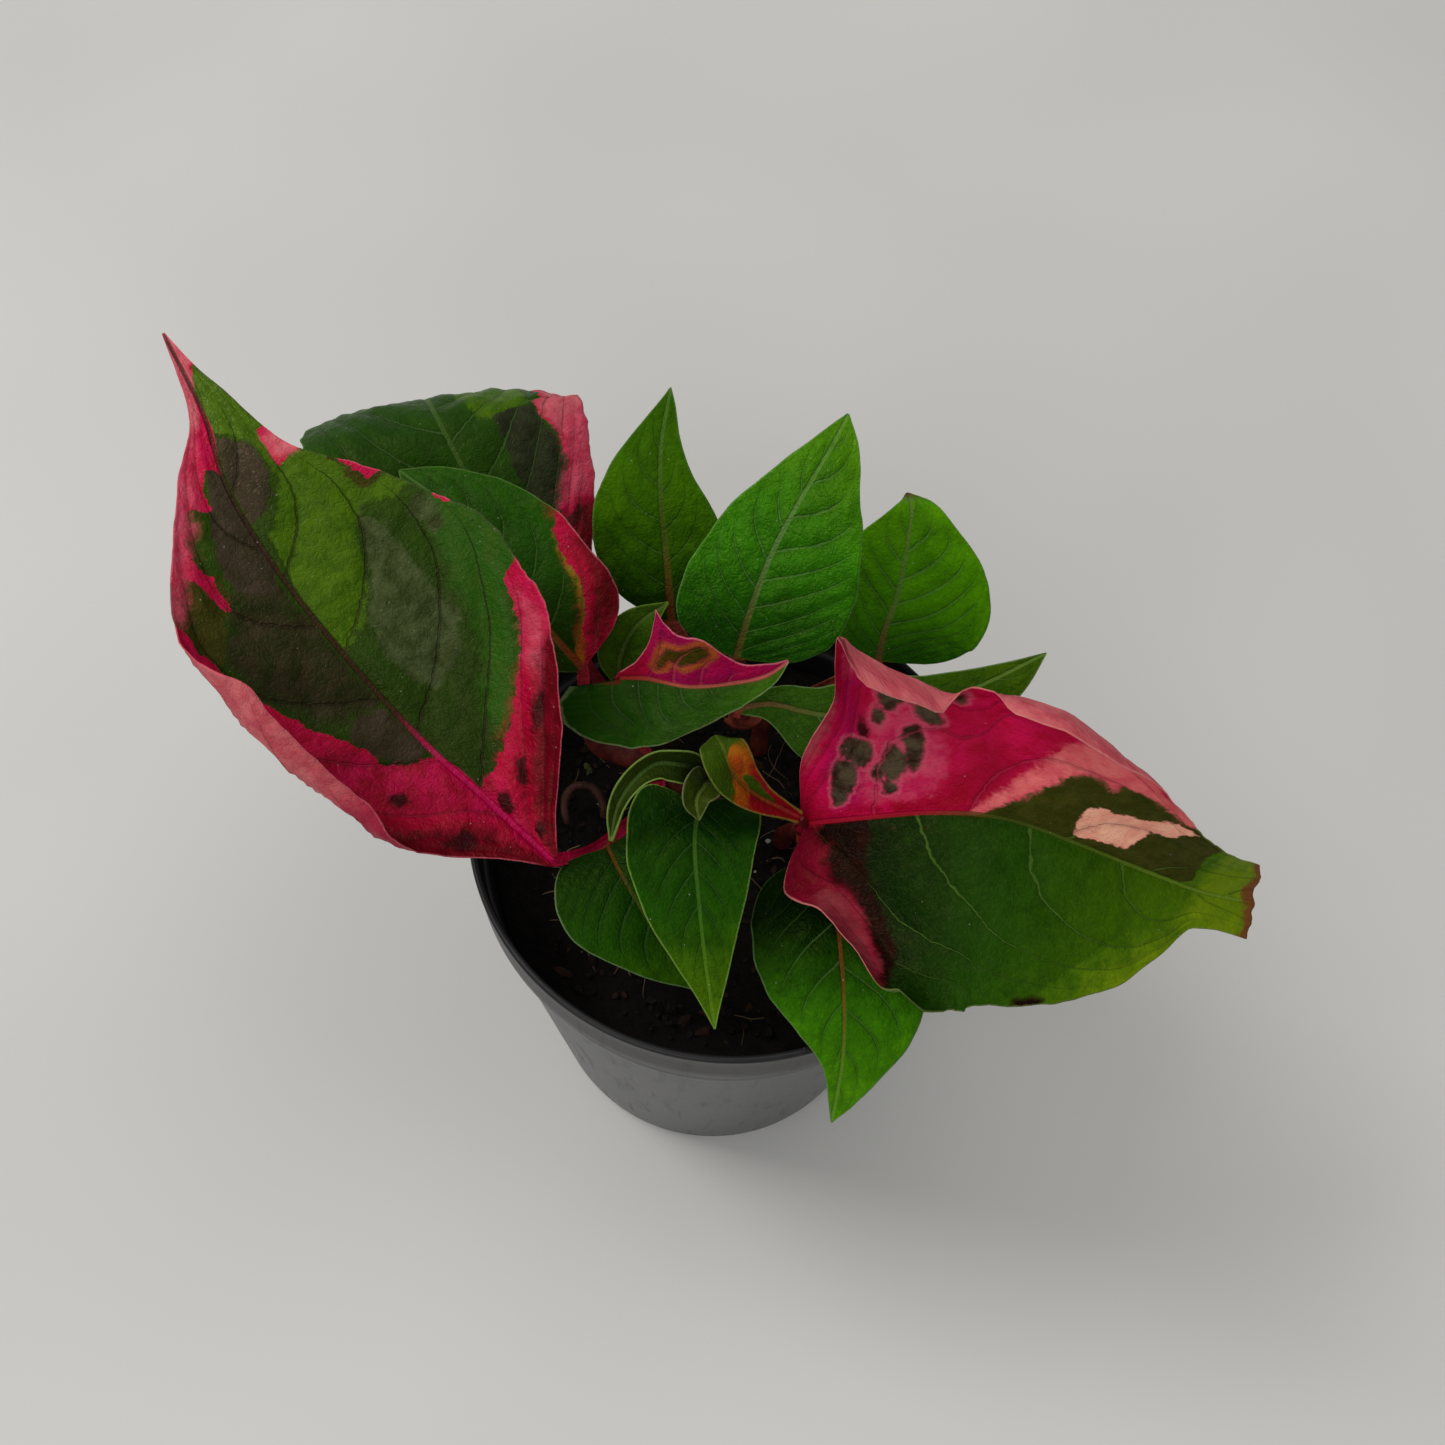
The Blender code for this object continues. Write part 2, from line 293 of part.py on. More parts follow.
def leaf_loft(leaf, petiole_steps=3):
    """Vertices and faces of the closed solid: petiole and blade in one loft of rings."""
    even = np.linspace(0, 1, leaf["steps"])
    us = 0.35 * (0.5 - 0.5 * np.cos(even * math.pi)) + 0.65 * even
    ss = np.array(leaf["across"], float)
    n, middle = len(ss), int(np.argmin(np.abs(ss)))
    upper, normals, widths = blade_surface(leaf, us, ss)
    off_rib = np.abs(ss)[None, :] * widths
    thick = BLADE + (MIDRIB - BLADE) * np.exp(-((off_rib / 0.8) ** 2)) * np.clip(1.15 - us, 0.15, 1)[:, None]
    lower = upper - normals * thick[..., None]
    if "petiole" in leaf:
        path = spline(list(leaf["petiole"]) + [leaf["rib"][0]])
        P, T = along(path, np.linspace(0, 1, petiole_steps + 1)[:-1])
        f = np.array(leaf["face"][0][1], float)
        N = unit(f - (T @ f)[:, None] * T)
        S = np.cross(T, N)
        x = ss * PETIOLE
        top = 0.25 * PETIOLE * ss**2
        bottom = -1.75 * PETIOLE * np.sqrt(np.clip(1 - 0.93 * ss**2, 0, 1))
        upper = np.concatenate([P[:, None] + S[:, None] * x[None, :, None] + N[:, None] * top[None, :, None], upper])
        lower = np.concatenate([P[:, None] + S[:, None] * x[None, :, None] + N[:, None] * bottom[None, :, None], lower])
    rings = np.concatenate([upper, lower[:, ::-1]], 1)
    m, count = 2 * n, len(rings)
    faces = [(i * m + j, i * m + (j + 1) % m, (i + 1) * m + (j + 1) % m, (i + 1) * m + j)
             for i in range(count - 1) for j in range(m)]
    end = (count - 1) * m
    for j in range(n - 1):
        faces.append((j + 1, j, m - 1 - j, m - 2 - j))
        faces.append((end + j, end + j + 1, end + m - 2 - j, end + m - 1 - j))
    return rings.reshape(-1, 3), faces


# ---------------------------------------------------------------- Blender objects
for old in list(bpy.data.objects):
    bpy.data.objects.remove(old, do_unlink=True)

scene = bpy.context.scene
scene.unit_settings.system = "METRIC"
scene.unit_settings.scale_length = 1.0

plant = bpy.data.collections.new("potted_alternanthera")
scene.collection.children.link(plant)
cutters = bpy.data.collections.new("cutters")
scene.collection.children.link(cutters)


def material(name, colour, roughness):
    m = bpy.data.materials.new(name)
    m.use_nodes = True
    shader = m.node_tree.nodes["Principled BSDF"]
    shader.inputs["Base Color"].default_value = (*colour, 1.0)
    shader.inputs["Roughness"].default_value = roughness
    shader.inputs["Metallic"].default_value = 0.0
    m.diffuse_color = (*colour, 1.0)
    return m


MATERIALS = {
    "pot": material("pot", (0.020, 0.020, 0.021), 0.38),
    "soil": material("soil", (0.028, 0.016, 0.010), 0.95),
    "stem": material("stem", (0.20, 0.045, 0.03), 0.55),
    "root": material("root", (0.16, 0.085, 0.05), 0.75),
    "leaf_green": material("leaf_green", (0.055, 0.16, 0.015), 0.42),
    "leaf_variegated": material("leaf_variegated", (0.30, 0.04, 0.07), 0.42),
    "leaf_young": material("leaf_young", (0.14, 0.19, 0.03), 0.45),
}


def mesh_object(name, vertices_mm, faces, slot):
    mesh = bpy.data.meshes.new(name)
    mesh.from_pydata([Vector(v) * MM for v in vertices_mm], [], faces)
    bm = bmesh.new()
    bm.from_mesh(mesh)
    bmesh.ops.recalc_face_normals(bm, faces=bm.faces)
    bm.to_mesh(mesh)
    bm.free()
    mesh.shade_smooth()
    mesh.set_sharp_from_angle(angle=math.radians(50))
    obj = bpy.data.objects.new(name, mesh)
    obj.data.materials.append(MATERIALS[slot])
    plant.objects.link(obj)
    return obj


def turned(name, profile_mm, slot, steps=56):
    """A profile in the XZ plane, running down its outer side, turned about Z with a Screw modifier."""
    mesh = bpy.data.meshes.new(name)
    mesh.from_pydata([(r * MM, 0, z * MM) for r, z in profile_mm],
                     [(i, i + 1) for i in range(len(profile_mm) - 1)], [])
    obj = bpy.data.objects.new(name, mesh)
    obj.data.materials.append(MATERIALS[slot])
    plant.objects.link(obj)
    screw = obj.modifiers.new("turn", "SCREW")
    screw.steps = steps
    screw.render_steps = steps
    screw.use_merge_vertices = True
    screw.merge_threshold = 0.00001
    screw.use_smooth_shade = True
    return obj


def tube(name, path_mm, radius_mm, slot, spacing_mm=2.2):
    """A stem or root: a POLY curve read from a smooth curve through its points, with a round bevel."""
    path = spline(path_mm)
    length = np.linalg.norm(np.diff(path, axis=0), axis=1).sum()
    count = max(6, int(round(length / spacing_mm)) + 1)
    points, _ = along(path, np.linspace(0, 1, count))
    curve = bpy.data.curves.new(name, "CURVE")
    curve.dimensions = "3D"
    curve.bevel_depth = radius_mm * MM
    curve.bevel_resolution = 2
    curve.use_fill_caps = True
    line = curve.splines.new("POLY")
    line.points.add(count - 1)
    for point, p in zip(line.points, points):
        point.co = (*(Vector(p) * MM), 1.0)
    line.use_smooth = True
    obj = bpy.data.objects.new(name, curve)
    obj.data.materials.append(MATERIALS[slot])
    plant.objects.link(obj)
    return obj


# the pot: thin wall, flat floor, the rim band stepped out by 0.7 mm
wall_top = RIM_HEIGHT - BAND_HEIGHT
pot = turned("pot", [
    (0, FLOOR),
    (BASE_RADIUS - WALL - 0.4, FLOOR),
    (BASE_RADIUS - WALL + 0.1, FLOOR + 0.5),
    (RIM_RADIUS - 2.1, wall_top - 0.3),
    (RIM_RADIUS - 1.5, wall_top + 0.3),
    (RIM_RADIUS - 1.0, RIM_HEIGHT - 0.25),
    (RIM_RADIUS - 0.75, RIM_HEIGHT),
    (RIM_RADIUS - 0.25, RIM_HEIGHT),
    (RIM_RADIUS, RIM_HEIGHT - 0.25),
    (RIM_RADIUS - 0.6, wall_top),
    (RIM_RADIUS - 1.3, wall_top - 0.15),
    (BASE_RADIUS + 0.1, 0.6),
    (BASE_RADIUS - 0.4, 0),
    (0, 0),
], "pot")

for i in range(DRAIN_HOLES):
    angle = (i + 0.5) * 2 * math.pi / DRAIN_HOLES
    bm = bmesh.new()
    bmesh.ops.create_cone(bm, cap_ends=True, segments=16, radius1=2.6 * MM, radius2=2.6 * MM, depth=5 * MM)
    mesh = bpy.data.meshes.new("drain_cutter_%d" % i)
    bm.to_mesh(mesh)
    bm.free()
    cutter = bpy.data.objects.new(mesh.name, mesh)
    cutter.location = (16.5 * MM * math.cos(angle), 16.5 * MM * math.sin(angle), 0.5 * MM)
    cutter.hide_render = True
    cutter.display_type = "WIRE"
    cutters.objects.link(cutter)
    cut = pot.modifiers.new("drain_%d" % i, "BOOLEAN")
    cut.operation = "DIFFERENCE"
    cut.object = cutter

# the soil: fills the pot to 8.6 mm under the rim, a little higher in the middle
slope = (RIM_RADIUS - 2.1 - (BASE_RADIUS - WALL + 0.1)) / (wall_top - 0.3 - FLOOR - 0.5)


def inner_radius(z):
    return BASE_RADIUS - WALL + 0.1 + slope * (z - FLOOR - 0.5)


turned("soil", [
    (0, SOIL_TOP),
    (12, SOIL_TOP - 0.1),
    (22, SOIL_TOP - 0.5),
    (inner_radius(SOIL_TOP - 1.6) - GAP - 0.6, SOIL_TOP - 1.0),
    (inner_radius(SOIL_TOP - 2.2) - GAP, SOIL_TOP - 1.8),
    (inner_radius(FLOOR + 1.0) - GAP, FLOOR + 1.0),
    (inner_radius(FLOOR + 1.0) - GAP - 0.6, FLOOR + 0.4),
    (0, FLOOR + 0.4),
], "soil", steps=40)

for name, stem in STEMS.items():
    tube(name, stem["path"], stem["radius"], "root" if name == "root_loop" else "stem",
         spacing_mm=1.3 if name == "root_loop" else 2.2)

for name, leaf in LEAVES.items():
    vertices, faces = leaf_loft(leaf)
    mesh_object(name, vertices, faces, PLANT_MATERIAL.get(name, "leaf_green"))
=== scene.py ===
"""Potted alternanthera: the looks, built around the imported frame.

Metres in the scene, millimetres in the tables. Every leaf is a fine closed blade with veins and
quilting in its mesh, painted by nodes that read the blade's own coordinates, so a vein, a margin
or a patch stays where it is on the leaf from any side.
"""
import math

import bmesh
import bpy
import numpy as np
from mathutils import Matrix, Vector, noise


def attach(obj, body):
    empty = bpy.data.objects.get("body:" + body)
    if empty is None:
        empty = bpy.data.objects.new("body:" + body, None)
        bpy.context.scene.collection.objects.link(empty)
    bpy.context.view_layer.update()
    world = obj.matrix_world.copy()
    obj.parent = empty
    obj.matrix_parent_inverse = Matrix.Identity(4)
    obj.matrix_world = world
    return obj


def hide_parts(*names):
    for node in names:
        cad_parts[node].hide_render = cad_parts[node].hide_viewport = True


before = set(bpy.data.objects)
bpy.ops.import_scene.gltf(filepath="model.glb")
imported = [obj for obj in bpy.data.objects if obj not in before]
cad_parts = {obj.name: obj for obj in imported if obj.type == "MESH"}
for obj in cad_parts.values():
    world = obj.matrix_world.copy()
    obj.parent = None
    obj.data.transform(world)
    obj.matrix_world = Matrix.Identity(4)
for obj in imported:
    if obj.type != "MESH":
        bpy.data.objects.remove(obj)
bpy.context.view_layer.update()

MM = 0.001
scene = bpy.context.scene
for old in [o for o in bpy.data.objects if o.type in ("CAMERA", "LIGHT")]:
    bpy.data.objects.remove(old, do_unlink=True)

# ---------------------------------------------------------------- the plant, in millimetres
# A leaf is a blade lofted along its midrib, with its petiole in the same loft.
#   rib       points of the midrib from blade base to tip
#   face      (u, upward direction) stations along the midrib; u runs 0 at the base to 1 at the tip
#   left      (u, half width) left of the midrib, looking from base to tip with the face up
#   right     the same for the right half
#   fold      (u, left angle, right angle) at which the two halves leave the midrib, degrees up
#   curl      (u, left, right) further turn of the section reached at the margin, degrees up
#   power     how late across the half the curl sets in, left and right
#   lobe      how far the blade reaches back behind its base, left and right, strongest at u = lobe_at
#   petiole   points from the stem to the blade base
#   across    stations of the loft across the blade, steps the stations along it
LEAVES = {
    "leaf_left_large": dict(
        rib=[(-20, -12.5, 66), (-28.5, -7.5, 71), (-35.5, -3.5, 75), (-44.5, 2.5, 82), (-52, 8.5, 88), (-58.5, 15.5, 94), (-62.5, 23.5, 97), (-68.5, 32.5, 99)],
        face=[(0, (0.15, -0.35, 0.9)), (1, (0.25, -0.35, 0.85))],
        left=[(0, 0.9), (0.03, 2.5), (0.06, 4.2), (0.1, 6.8), (0.15, 10.3), (0.2, 15), (0.25, 17.2), (0.35, 19.4), (0.45, 20.6), (0.55, 17.8), (0.65, 11.3), (0.75, 5.3), (0.85, 1.6), (0.92, 0.8), (1, 0.15)],
        right=[(0, 0.9), (0.03, 3.2), (0.06, 5.8), (0.1, 10), (0.15, 14.5), (0.2, 18), (0.25, 20), (0.35, 22.3), (0.45, 22.3), (0.55, 19.5), (0.65, 15), (0.75, 9.2), (0.85, 4), (0.92, 1.7), (1, 0.15)],
        fold=[(0, 25, 30), (0.1, 15, 25), (0.3, 5, 12), (0.6, 5, 8), (1, 10, 10)],
        curl=[(0, 15, 20), (0.12, 30, 45), (0.2, 110, 40), (0.28, 165, 40), (0.48, 170, 25), (0.56, 100, 15), (0.64, 40, 10), (0.8, 20, 0), (1, 0, 0)],
        power=(3, 2.5), petiole=[(-9.3, 3.8, 55.4), (-11.5, -1.5, 57.5), (-16, -9, 62.3)], across=[-1, -0.94, -0.86, -0.75, -0.55, -0.25, 0, 0.3, 0.6, 0.82, 1], steps=20),
    "leaf_right_large": dict(
        rib=[(8.3, -7.5, 71.5), (14.2, -8, 75), (22, -8.5, 79), (30, -9.5, 81), (38, -11.5, 80.5), (46.5, -13, 78), (53, -13.5, 75.5), (59.5, -13, 73)],
        face=[(0, (0, -0.2, 1)), (1, (0.1, -0.3, 1))],
        left=[(0, 0.9), (0.03, 8), (0.06, 11), (0.1, 14.4), (0.14, 18), (0.17, 23), (0.2, 27.2), (0.22, 27.2), (0.25, 24.7), (0.3, 21.4), (0.34, 17), (0.36, 17), (0.4, 21.3), (0.45, 22), (0.5, 20.3), (0.57, 17.5), (0.65, 13.2), (0.75, 8.8), (0.85, 6.2), (0.92, 4.8), (1, 4.2)],
        right=[(0, 0.9), (0.012, 4), (0.03, 7), (0.06, 8.7), (0.1, 10.5), (0.15, 15.9), (0.2, 21.5), (0.25, 22.2), (0.35, 21.8), (0.45, 21.2), (0.55, 19.6), (0.65, 17.2), (0.75, 13.5), (0.82, 8.5), (0.87, 4.2), (0.92, 3.8), (1, 4.2)],
        fold=[(0, 48, -10), (0.1, 48, -10), (0.2, 42, -12), (0.35, 42, -12), (0.45, 52, -12), (0.6, 58, -12), (0.85, 45, -12), (1, 10, -10)],
        curl=[(0, 10, 0), (0.08, 30, 60), (0.13, 50, 120), (0.19, 75, 120), (0.23, 150, 120), (0.3, 155, 20), (0.34, 50, 0), (0.36, 50, 0), (0.4, 130, 0), (0.46, 120, 0), (0.52, 105, 0), (0.58, 80, 0), (0.7, 60, 0), (0.85, 40, 0), (1, 0, 0)],
        power=(4, 6), lobe=(-3, 4.8), lobe_at=(0.2, 0.05), petiole=[(9.2, -3.4, 63.6), (9.2, -6.5, 69)], across=[-1, -0.95, -0.88, -0.75, -0.45, 0, 0.4, 0.72, 0.88, 0.95, 1], steps=20),
    "leaf_back_left": dict(
        rib=[(-20, 17.5, 62), (-25.2, 21.5, 66.5), (-31.5, 28.3, 71), (-37, 35.3, 76), (-40.5, 40.5, 77.8), (-43, 45.8, 75), (-45, 50, 68.5), (-46, 52.5, 61), (-46, 53.5, 53)],
        face=[(0, (0.2, -0.6, 0.8)), (0.4, (0.1, -0.4, 1)), (0.55, (-0.2, 0.3, 1)), (0.75, (-0.4, 0.9, 0.5)), (1, (-0.4, 1, 0.1))],
        left=[(0, 0.9), (0.07, 3), (0.14, 6), (0.24, 11), (0.31, 13.5), (0.38, 15.5), (0.45, 16.5), (0.52, 17), (0.6, 16.5), (0.7, 14.5), (0.8, 11), (0.9, 6), (1, 0.2)],
        right=[(0, 0.9), (0.07, 4.5), (0.12, 7.5), (0.17, 9.5), (0.24, 13), (0.31, 15.3), (0.38, 17), (0.45, 18.4), (0.52, 19.2), (0.6, 18.2), (0.7, 15.5), (0.8, 11), (0.9, 5.5), (1, 0.2)],
        fold=[(0, 3, -3), (0.4, 8, -5), (1, 0, -5)],
        curl=[(0, -5, -10), (0.35, -12, -25), (1, -20, -30)],
        petiole=[(-11.3, 7.8, 57.2), (-15, 12.5, 58.6)], across=[-1, -0.8, -0.6, -0.4, -0.2, 0, 0.2, 0.4, 0.6, 0.8, 1], steps=18),
    "leaf_mid_left": dict(
        rib=[(-19.2, 11.4, 70), (-24, 14.4, 74), (-30.2, 21.1, 77), (-38.3, 27.9, 78.5), (-44, 32.2, 78)],
        face=[(0, (0, -0.4, 1)), (1, (0, -0.3, 1))],
        left=[(0, 0.8), (0.05, 2.5), (0.15, 5), (0.3, 7.5), (0.5, 8.5), (0.7, 6.5), (0.85, 3.5), (1, 0.15)],
        right=[(0, 0.8), (0.03, 6), (0.08, 8.6), (0.15, 9.8), (0.25, 10), (0.35, 9.6), (0.5, 9), (0.65, 7.5), (0.8, 5), (0.92, 2.4), (1, 0.15)],
        fold=[(0, 0, 0), (1, 0, 0)],
        curl=[(0, 0, 0), (1, 0, 0)],
        petiole=[(-18.6, 7.9, 67.3)], across=[-1, -0.7, -0.35, 0, 0.35, 0.7, 1], steps=14),
    "leaf_back_centre": dict(
        rib=[(-9.5, 23, 64), (-10, 25, 67), (-11, 29, 72), (-12, 32.5, 77), (-12.5, 37.5, 81), (-12, 44, 84)],
        face=[(0, (0, -0.8, 0.6)), (1, (0, -0.4, 0.9))],
        left=[(0, 0.8), (0.03, 2), (0.08, 4.5), (0.15, 6.5), (0.25, 8), (0.35, 8.8), (0.5, 8.4), (0.65, 6.6), (0.8, 3.4), (0.92, 1.3), (1, 0.1)],
        right=[(0, 0.8), (0.03, 2), (0.08, 4.5), (0.15, 6), (0.25, 7), (0.35, 7.2), (0.5, 6), (0.65, 3.8), (0.8, 2.2), (0.92, 1.1), (1, 0.1)],
        fold=[(0, 0, 0), (1, 0, 0)],
        curl=[(0, 0, 0), (1, 0, 0)],
        petiole=[(0.2, 17.4, 57.4), (-5, 19.5, 60)], across=[-1, -0.7, -0.35, 0, 0.35, 0.7, 1], steps=13),
    "leaf_back_tall": dict(
        rib=[(-1, 16, 68), (0, 19.5, 72), (2.3, 25, 79), (5.5, 30, 85), (7.5, 33, 88), (9.5, 37.5, 90)],
        face=[(0, (0, -0.8, 0.6)), (1, (0, -0.5, 0.8))],
        left=[(0, 0.8), (0.03, 5), (0.08, 8), (0.15, 9), (0.25, 9), (0.35, 8.4), (0.5, 7.2), (0.65, 5.2), (0.8, 3.2), (0.92, 1.5), (1, 0.15)],
        right=[(0, 0.8), (0.03, 6), (0.08, 9), (0.15, 10.8), (0.25, 11.6), (0.35, 11.6), (0.5, 10.6), (0.65, 8.4), (0.8, 5.2), (0.92, 2.6), (1, 0.15)],
        fold=[(0, 0, 0), (1, 0, 0)],
        curl=[(0, 0, 0), (1, 0, 0)],
        petiole=[(1.6, 16, 61.3), (0.2, 15.8, 65)], across=[-1, -0.7, -0.35, 0, 0.35, 0.7, 1], steps=14),
    "leaf_back_right": dict(
        rib=[(17, 22, 61), (17.5, 25, 64), (18.5, 28, 67), (19, 32.5, 72), (19, 36, 75), (18.5, 39, 74)],
        face=[(0, (0, -0.7, 0.7)), (1, (0, -0.1, 1))],
        left=[(0, 0.8), (0.03, 4), (0.08, 6), (0.15, 7.5), (0.25, 8), (0.35, 8), (0.5, 7.6), (0.65, 6.5), (0.8, 3.6), (0.92, 1.2), (1, 0.15)],
        right=[(0, 0.8), (0.03, 6), (0.08, 9), (0.15, 10.6), (0.25, 11.4), (0.35, 12), (0.5, 11), (0.65, 8.6), (0.8, 5), (0.92, 2), (1, 0.15)],
        fold=[(0, 0, 0), (1, 0, 0)],
        curl=[(0, 0, 0), (1, 0, 0)],
        petiole=[(4.4, 16.4, 56.2), (10, 19, 57.5)], across=[-1, -0.7, -0.35, 0, 0.35, 0.7, 1], steps=13),
    "leaf_right_under": dict(
        rib=[(0, 12.5, 62), (3.5, 13, 63), (10, 11, 65), (19, 11, 67), (27.5, 14, 69), (36.5, 19, 71)],
        face=[(0, (0, -0.3, 1)), (1, (0, -0.3, 1))],
        left=[(0, 0.8), (0.08, 1.9), (0.15, 2.8), (0.25, 3.4), (0.35, 4.2), (0.5, 4.6), (0.65, 3.4), (0.8, 2), (0.92, 0.8), (1, 0.1)],
        right=[(0, 0.8), (0.08, 2), (0.15, 3.2), (0.25, 6), (0.35, 8.5), (0.5, 8.5), (0.65, 7), (0.8, 4.4), (0.92, 2.2), (1, 0.1)],
        fold=[(0, 0, 0), (1, 0, 0)],
        curl=[(0, 0, 0), (1, 0, 0)],
        petiole=[(1.6, 13.4, 57.6), (-0.6, 12, 59.8)], across=[-1, -0.7, -0.35, 0, 0.35, 0.7, 1], steps=13),
    "leaf_centre_fold": dict(
        rib=[(-14.3, 7.8, 74.6), (-11.1, 7.5, 75.4), (-6, 5.9, 77.2), (-0.5, 6, 79), (2.5, 6.6, 80), (5, 8.5, 80.5)],
        face=[(0, (0, -0.2, 1)), (1, (0, -0.2, 1))],
        left=[(0, 0.8), (0.06, 1.8), (0.1, 2.5), (0.15, 3.6), (0.2, 5), (0.25, 7), (0.3, 9.7), (0.33, 11.2), (0.36, 9.4), (0.4, 8.5), (0.45, 8), (0.53, 7.6), (0.6, 6.4), (0.66, 4.3), (0.75, 2.3), (0.85, 1.6), (0.92, 0.8), (1, 0.1)],
        right=[(0, 0.8), (0.015, 1.2), (0.03, 3), (0.06, 6.4), (0.1, 8), (0.15, 8.3), (0.25, 8.1), (0.35, 7.1), (0.45, 5.2), (0.55, 4), (0.65, 3.3), (0.8, 2), (0.92, 0.9), (1, 0.1)],
        fold=[(0, 70, -15), (0.5, 65, -15), (1, 40, -10)],
        curl=[(0, 0, 0), (1, 0, 0)],
        lobe=(0, 8.3), lobe_at=(0.1, 0.035), petiole=[(-16.2, 6.6, 67.8), (-15, 7.4, 71.5)], across=[-1, -0.7, -0.35, 0, 0.35, 0.7, 1], steps=13),
    "leaf_tiny_back": dict(
        rib=[(-15, 12, 66), (-15, 15, 68), (-13.3, 17.6, 71), (-9.8, 19.2, 74)],
        face=[(0, (0, -0.5, 0.8)), (1, (0, -0.5, 0.8))],
        left=[(0, 0.6), (0.15, 2.2), (0.3, 3), (0.5, 2.8), (0.75, 1.6), (1, 0.1)],
        right=[(0, 0.6), (0.15, 2.4), (0.3, 3.2), (0.5, 3), (0.75, 1.8), (1, 0.1)],
        fold=[(0, 15, 15), (1, 10, 10)],
        curl=[(0, 0, 0), (1, 0, 0)],
        petiole=[(-15.4, 7.1, 62.6), (-15.2, 9.5, 64)], across=[-1, -0.5, 0, 0.5, 1], steps=9),
    "leaf_front_heart": dict(
        rib=[(-3.8, -7.5, 74), (-3.8, -12.5, 74), (-2.4, -20, 71), (-1.2, -25, 68), (0.4, -30, 63)],
        face=[(0, (0, -0.2, 1)), (1, (0, -0.8, 0.8))],
        left=[(0, 0.8), (0.03, 5), (0.08, 7), (0.15, 7.3), (0.25, 6.8), (0.35, 6.1), (0.5, 4.8), (0.65, 3.4), (0.8, 2), (0.92, 0.8), (1, 0.1)],
        right=[(0, 0.8), (0.03, 5), (0.08, 7), (0.15, 7.7), (0.25, 7.6), (0.35, 7), (0.5, 5.8), (0.65, 3.9), (0.8, 2), (0.92, 0.8), (1, 0.1)],
        fold=[(0, 0, 0), (1, 0, 0)],
        curl=[(0, 0, 0), (1, 0, 0)],
        lobe=(2.7, 3), lobe_at=(0.05, 0.05), petiole=[(-3.8, -4.9, 72)], across=[-1, -0.7, -0.35, 0, 0.35, 0.7, 1], steps=14),
    "leaf_front_left": dict(
        rib=[(-14, -9.5, 65), (-12, -13, 65.3), (-9.5, -16.5, 64.5), (-6, -20.5, 62), (-2, -23.5, 58)],
        face=[(0, (0, -0.2, 1)), (1, (0.2, -0.4, 1))],
        left=[(0, 0.8), (0.03, 4), (0.08, 6), (0.15, 7), (0.25, 7.4), (0.35, 7.3), (0.5, 6.6), (0.65, 5), (0.8, 3), (0.92, 1.2), (1, 0.1)],
        right=[(0, 0.8), (0.03, 5), (0.06, 6), (0.1, 7), (0.15, 7.8), (0.25, 8.7), (0.35, 8.7), (0.45, 8.1), (0.55, 6.8), (0.65, 5.2), (0.8, 3), (0.92, 1.2), (1, 0.1)],
        fold=[(0, 0, 0), (1, 0, 0)],
        curl=[(0, 0, 0), (1, 0, 0)],
        lobe=(1, 1), lobe_at=(0.05, 0.05), petiole=[(-3.2, -0.9, 57.4), (-8, -4.5, 60.2), (-12, -8, 63)], across=[-1, -0.7, -0.35, 0, 0.35, 0.7, 1], steps=13),
    "leaf_front_right": dict(
        rib=[(9.5, -8.5, 65), (12.5, -14, 66), (14, -21, 65), (15, -27, 61.5), (15.3, -30.5, 58), (15, -35.5, 51)],
        face=[(0, (0, -0.2, 1)), (1, (0, -0.9, 0.5))],
        left=[(0, 0.8), (0.03, 4), (0.08, 7), (0.15, 8.4), (0.25, 9.2), (0.35, 9.6), (0.5, 9.6), (0.65, 8), (0.8, 4.6), (0.92, 2.2), (1, 0.1)],
        right=[(0, 0.8), (0.03, 5), (0.08, 8), (0.15, 9.4), (0.25, 9.9), (0.35, 9.9), (0.5, 8.6), (0.65, 5.2), (0.8, 1.9), (0.92, 0.8), (1, 0.1)],
        fold=[(0, 0, 0), (1, 0, 0)],
        curl=[(0, 0, 0), (1, 0, 0)],
        lobe=(1, 1), lobe_at=(0.05, 0.05), petiole=[(9.3, -4.6, 60.6)], across=[-1, -0.7, -0.35, 0, 0.35, 0.7, 1], steps=15),
    "leaf_curled": dict(
        rib=[(-4.4, -4.5, 75.2), (-4.9, -5.2, 78), (-6.2, -5.9, 79.8), (-8.7, -6.4, 80.5), (-11, -8.4, 80), (-12.6, -10.8, 78), (-13.1, -13.7, 75)],
        face=[(0, (0.2, -0.6, 0.7)), (0.4, (0.1, -0.5, 0.8)), (1, (0, -0.4, 0.9))],
        left=[(0, 0.6), (0.1, 1.8), (0.25, 2.6), (0.4, 2.4), (0.6, 1.4), (0.8, 1), (1, 0.1)],
        right=[(0, 0.6), (0.1, 1.6), (0.25, 2), (0.4, 1.6), (0.6, 1.5), (0.8, 1.1), (1, 0.1)],
        fold=[(0, 20, 20), (1, 30, 30)],
        curl=[(0, 0, 0), (0.3, 60, 20), (0.7, 60, 20), (1, 20, 0)],
        across=[-1, -0.75, -0.4, 0, 0.5, 1], steps=13),
    "leaf_orange": dict(
        rib=[(7.8, -8.6, 75), (5.7, -8.3, 76.2), (2.7, -7.9, 78), (0.2, -7.2, 80.3), (-1, -6.2, 82.3), (-1.8, -4.7, 83), (-2.6, -2.6, 81.5)],
        face=[(0, (0, -0.5, 0.9)), (0.6, (0, -0.3, 1)), (1, (-0.1, 0.3, 0.8))],
        left=[(0, 0.6), (0.15, 1.3), (0.3, 2), (0.5, 2.6), (0.7, 2.8), (0.85, 2.5), (0.95, 1.4), (1, 0.4)],
        right=[(0, 0.6), (0.15, 1.1), (0.3, 1.6), (0.5, 2.4), (0.7, 2.8), (0.85, 2.5), (0.95, 1.4), (1, 0.4)],
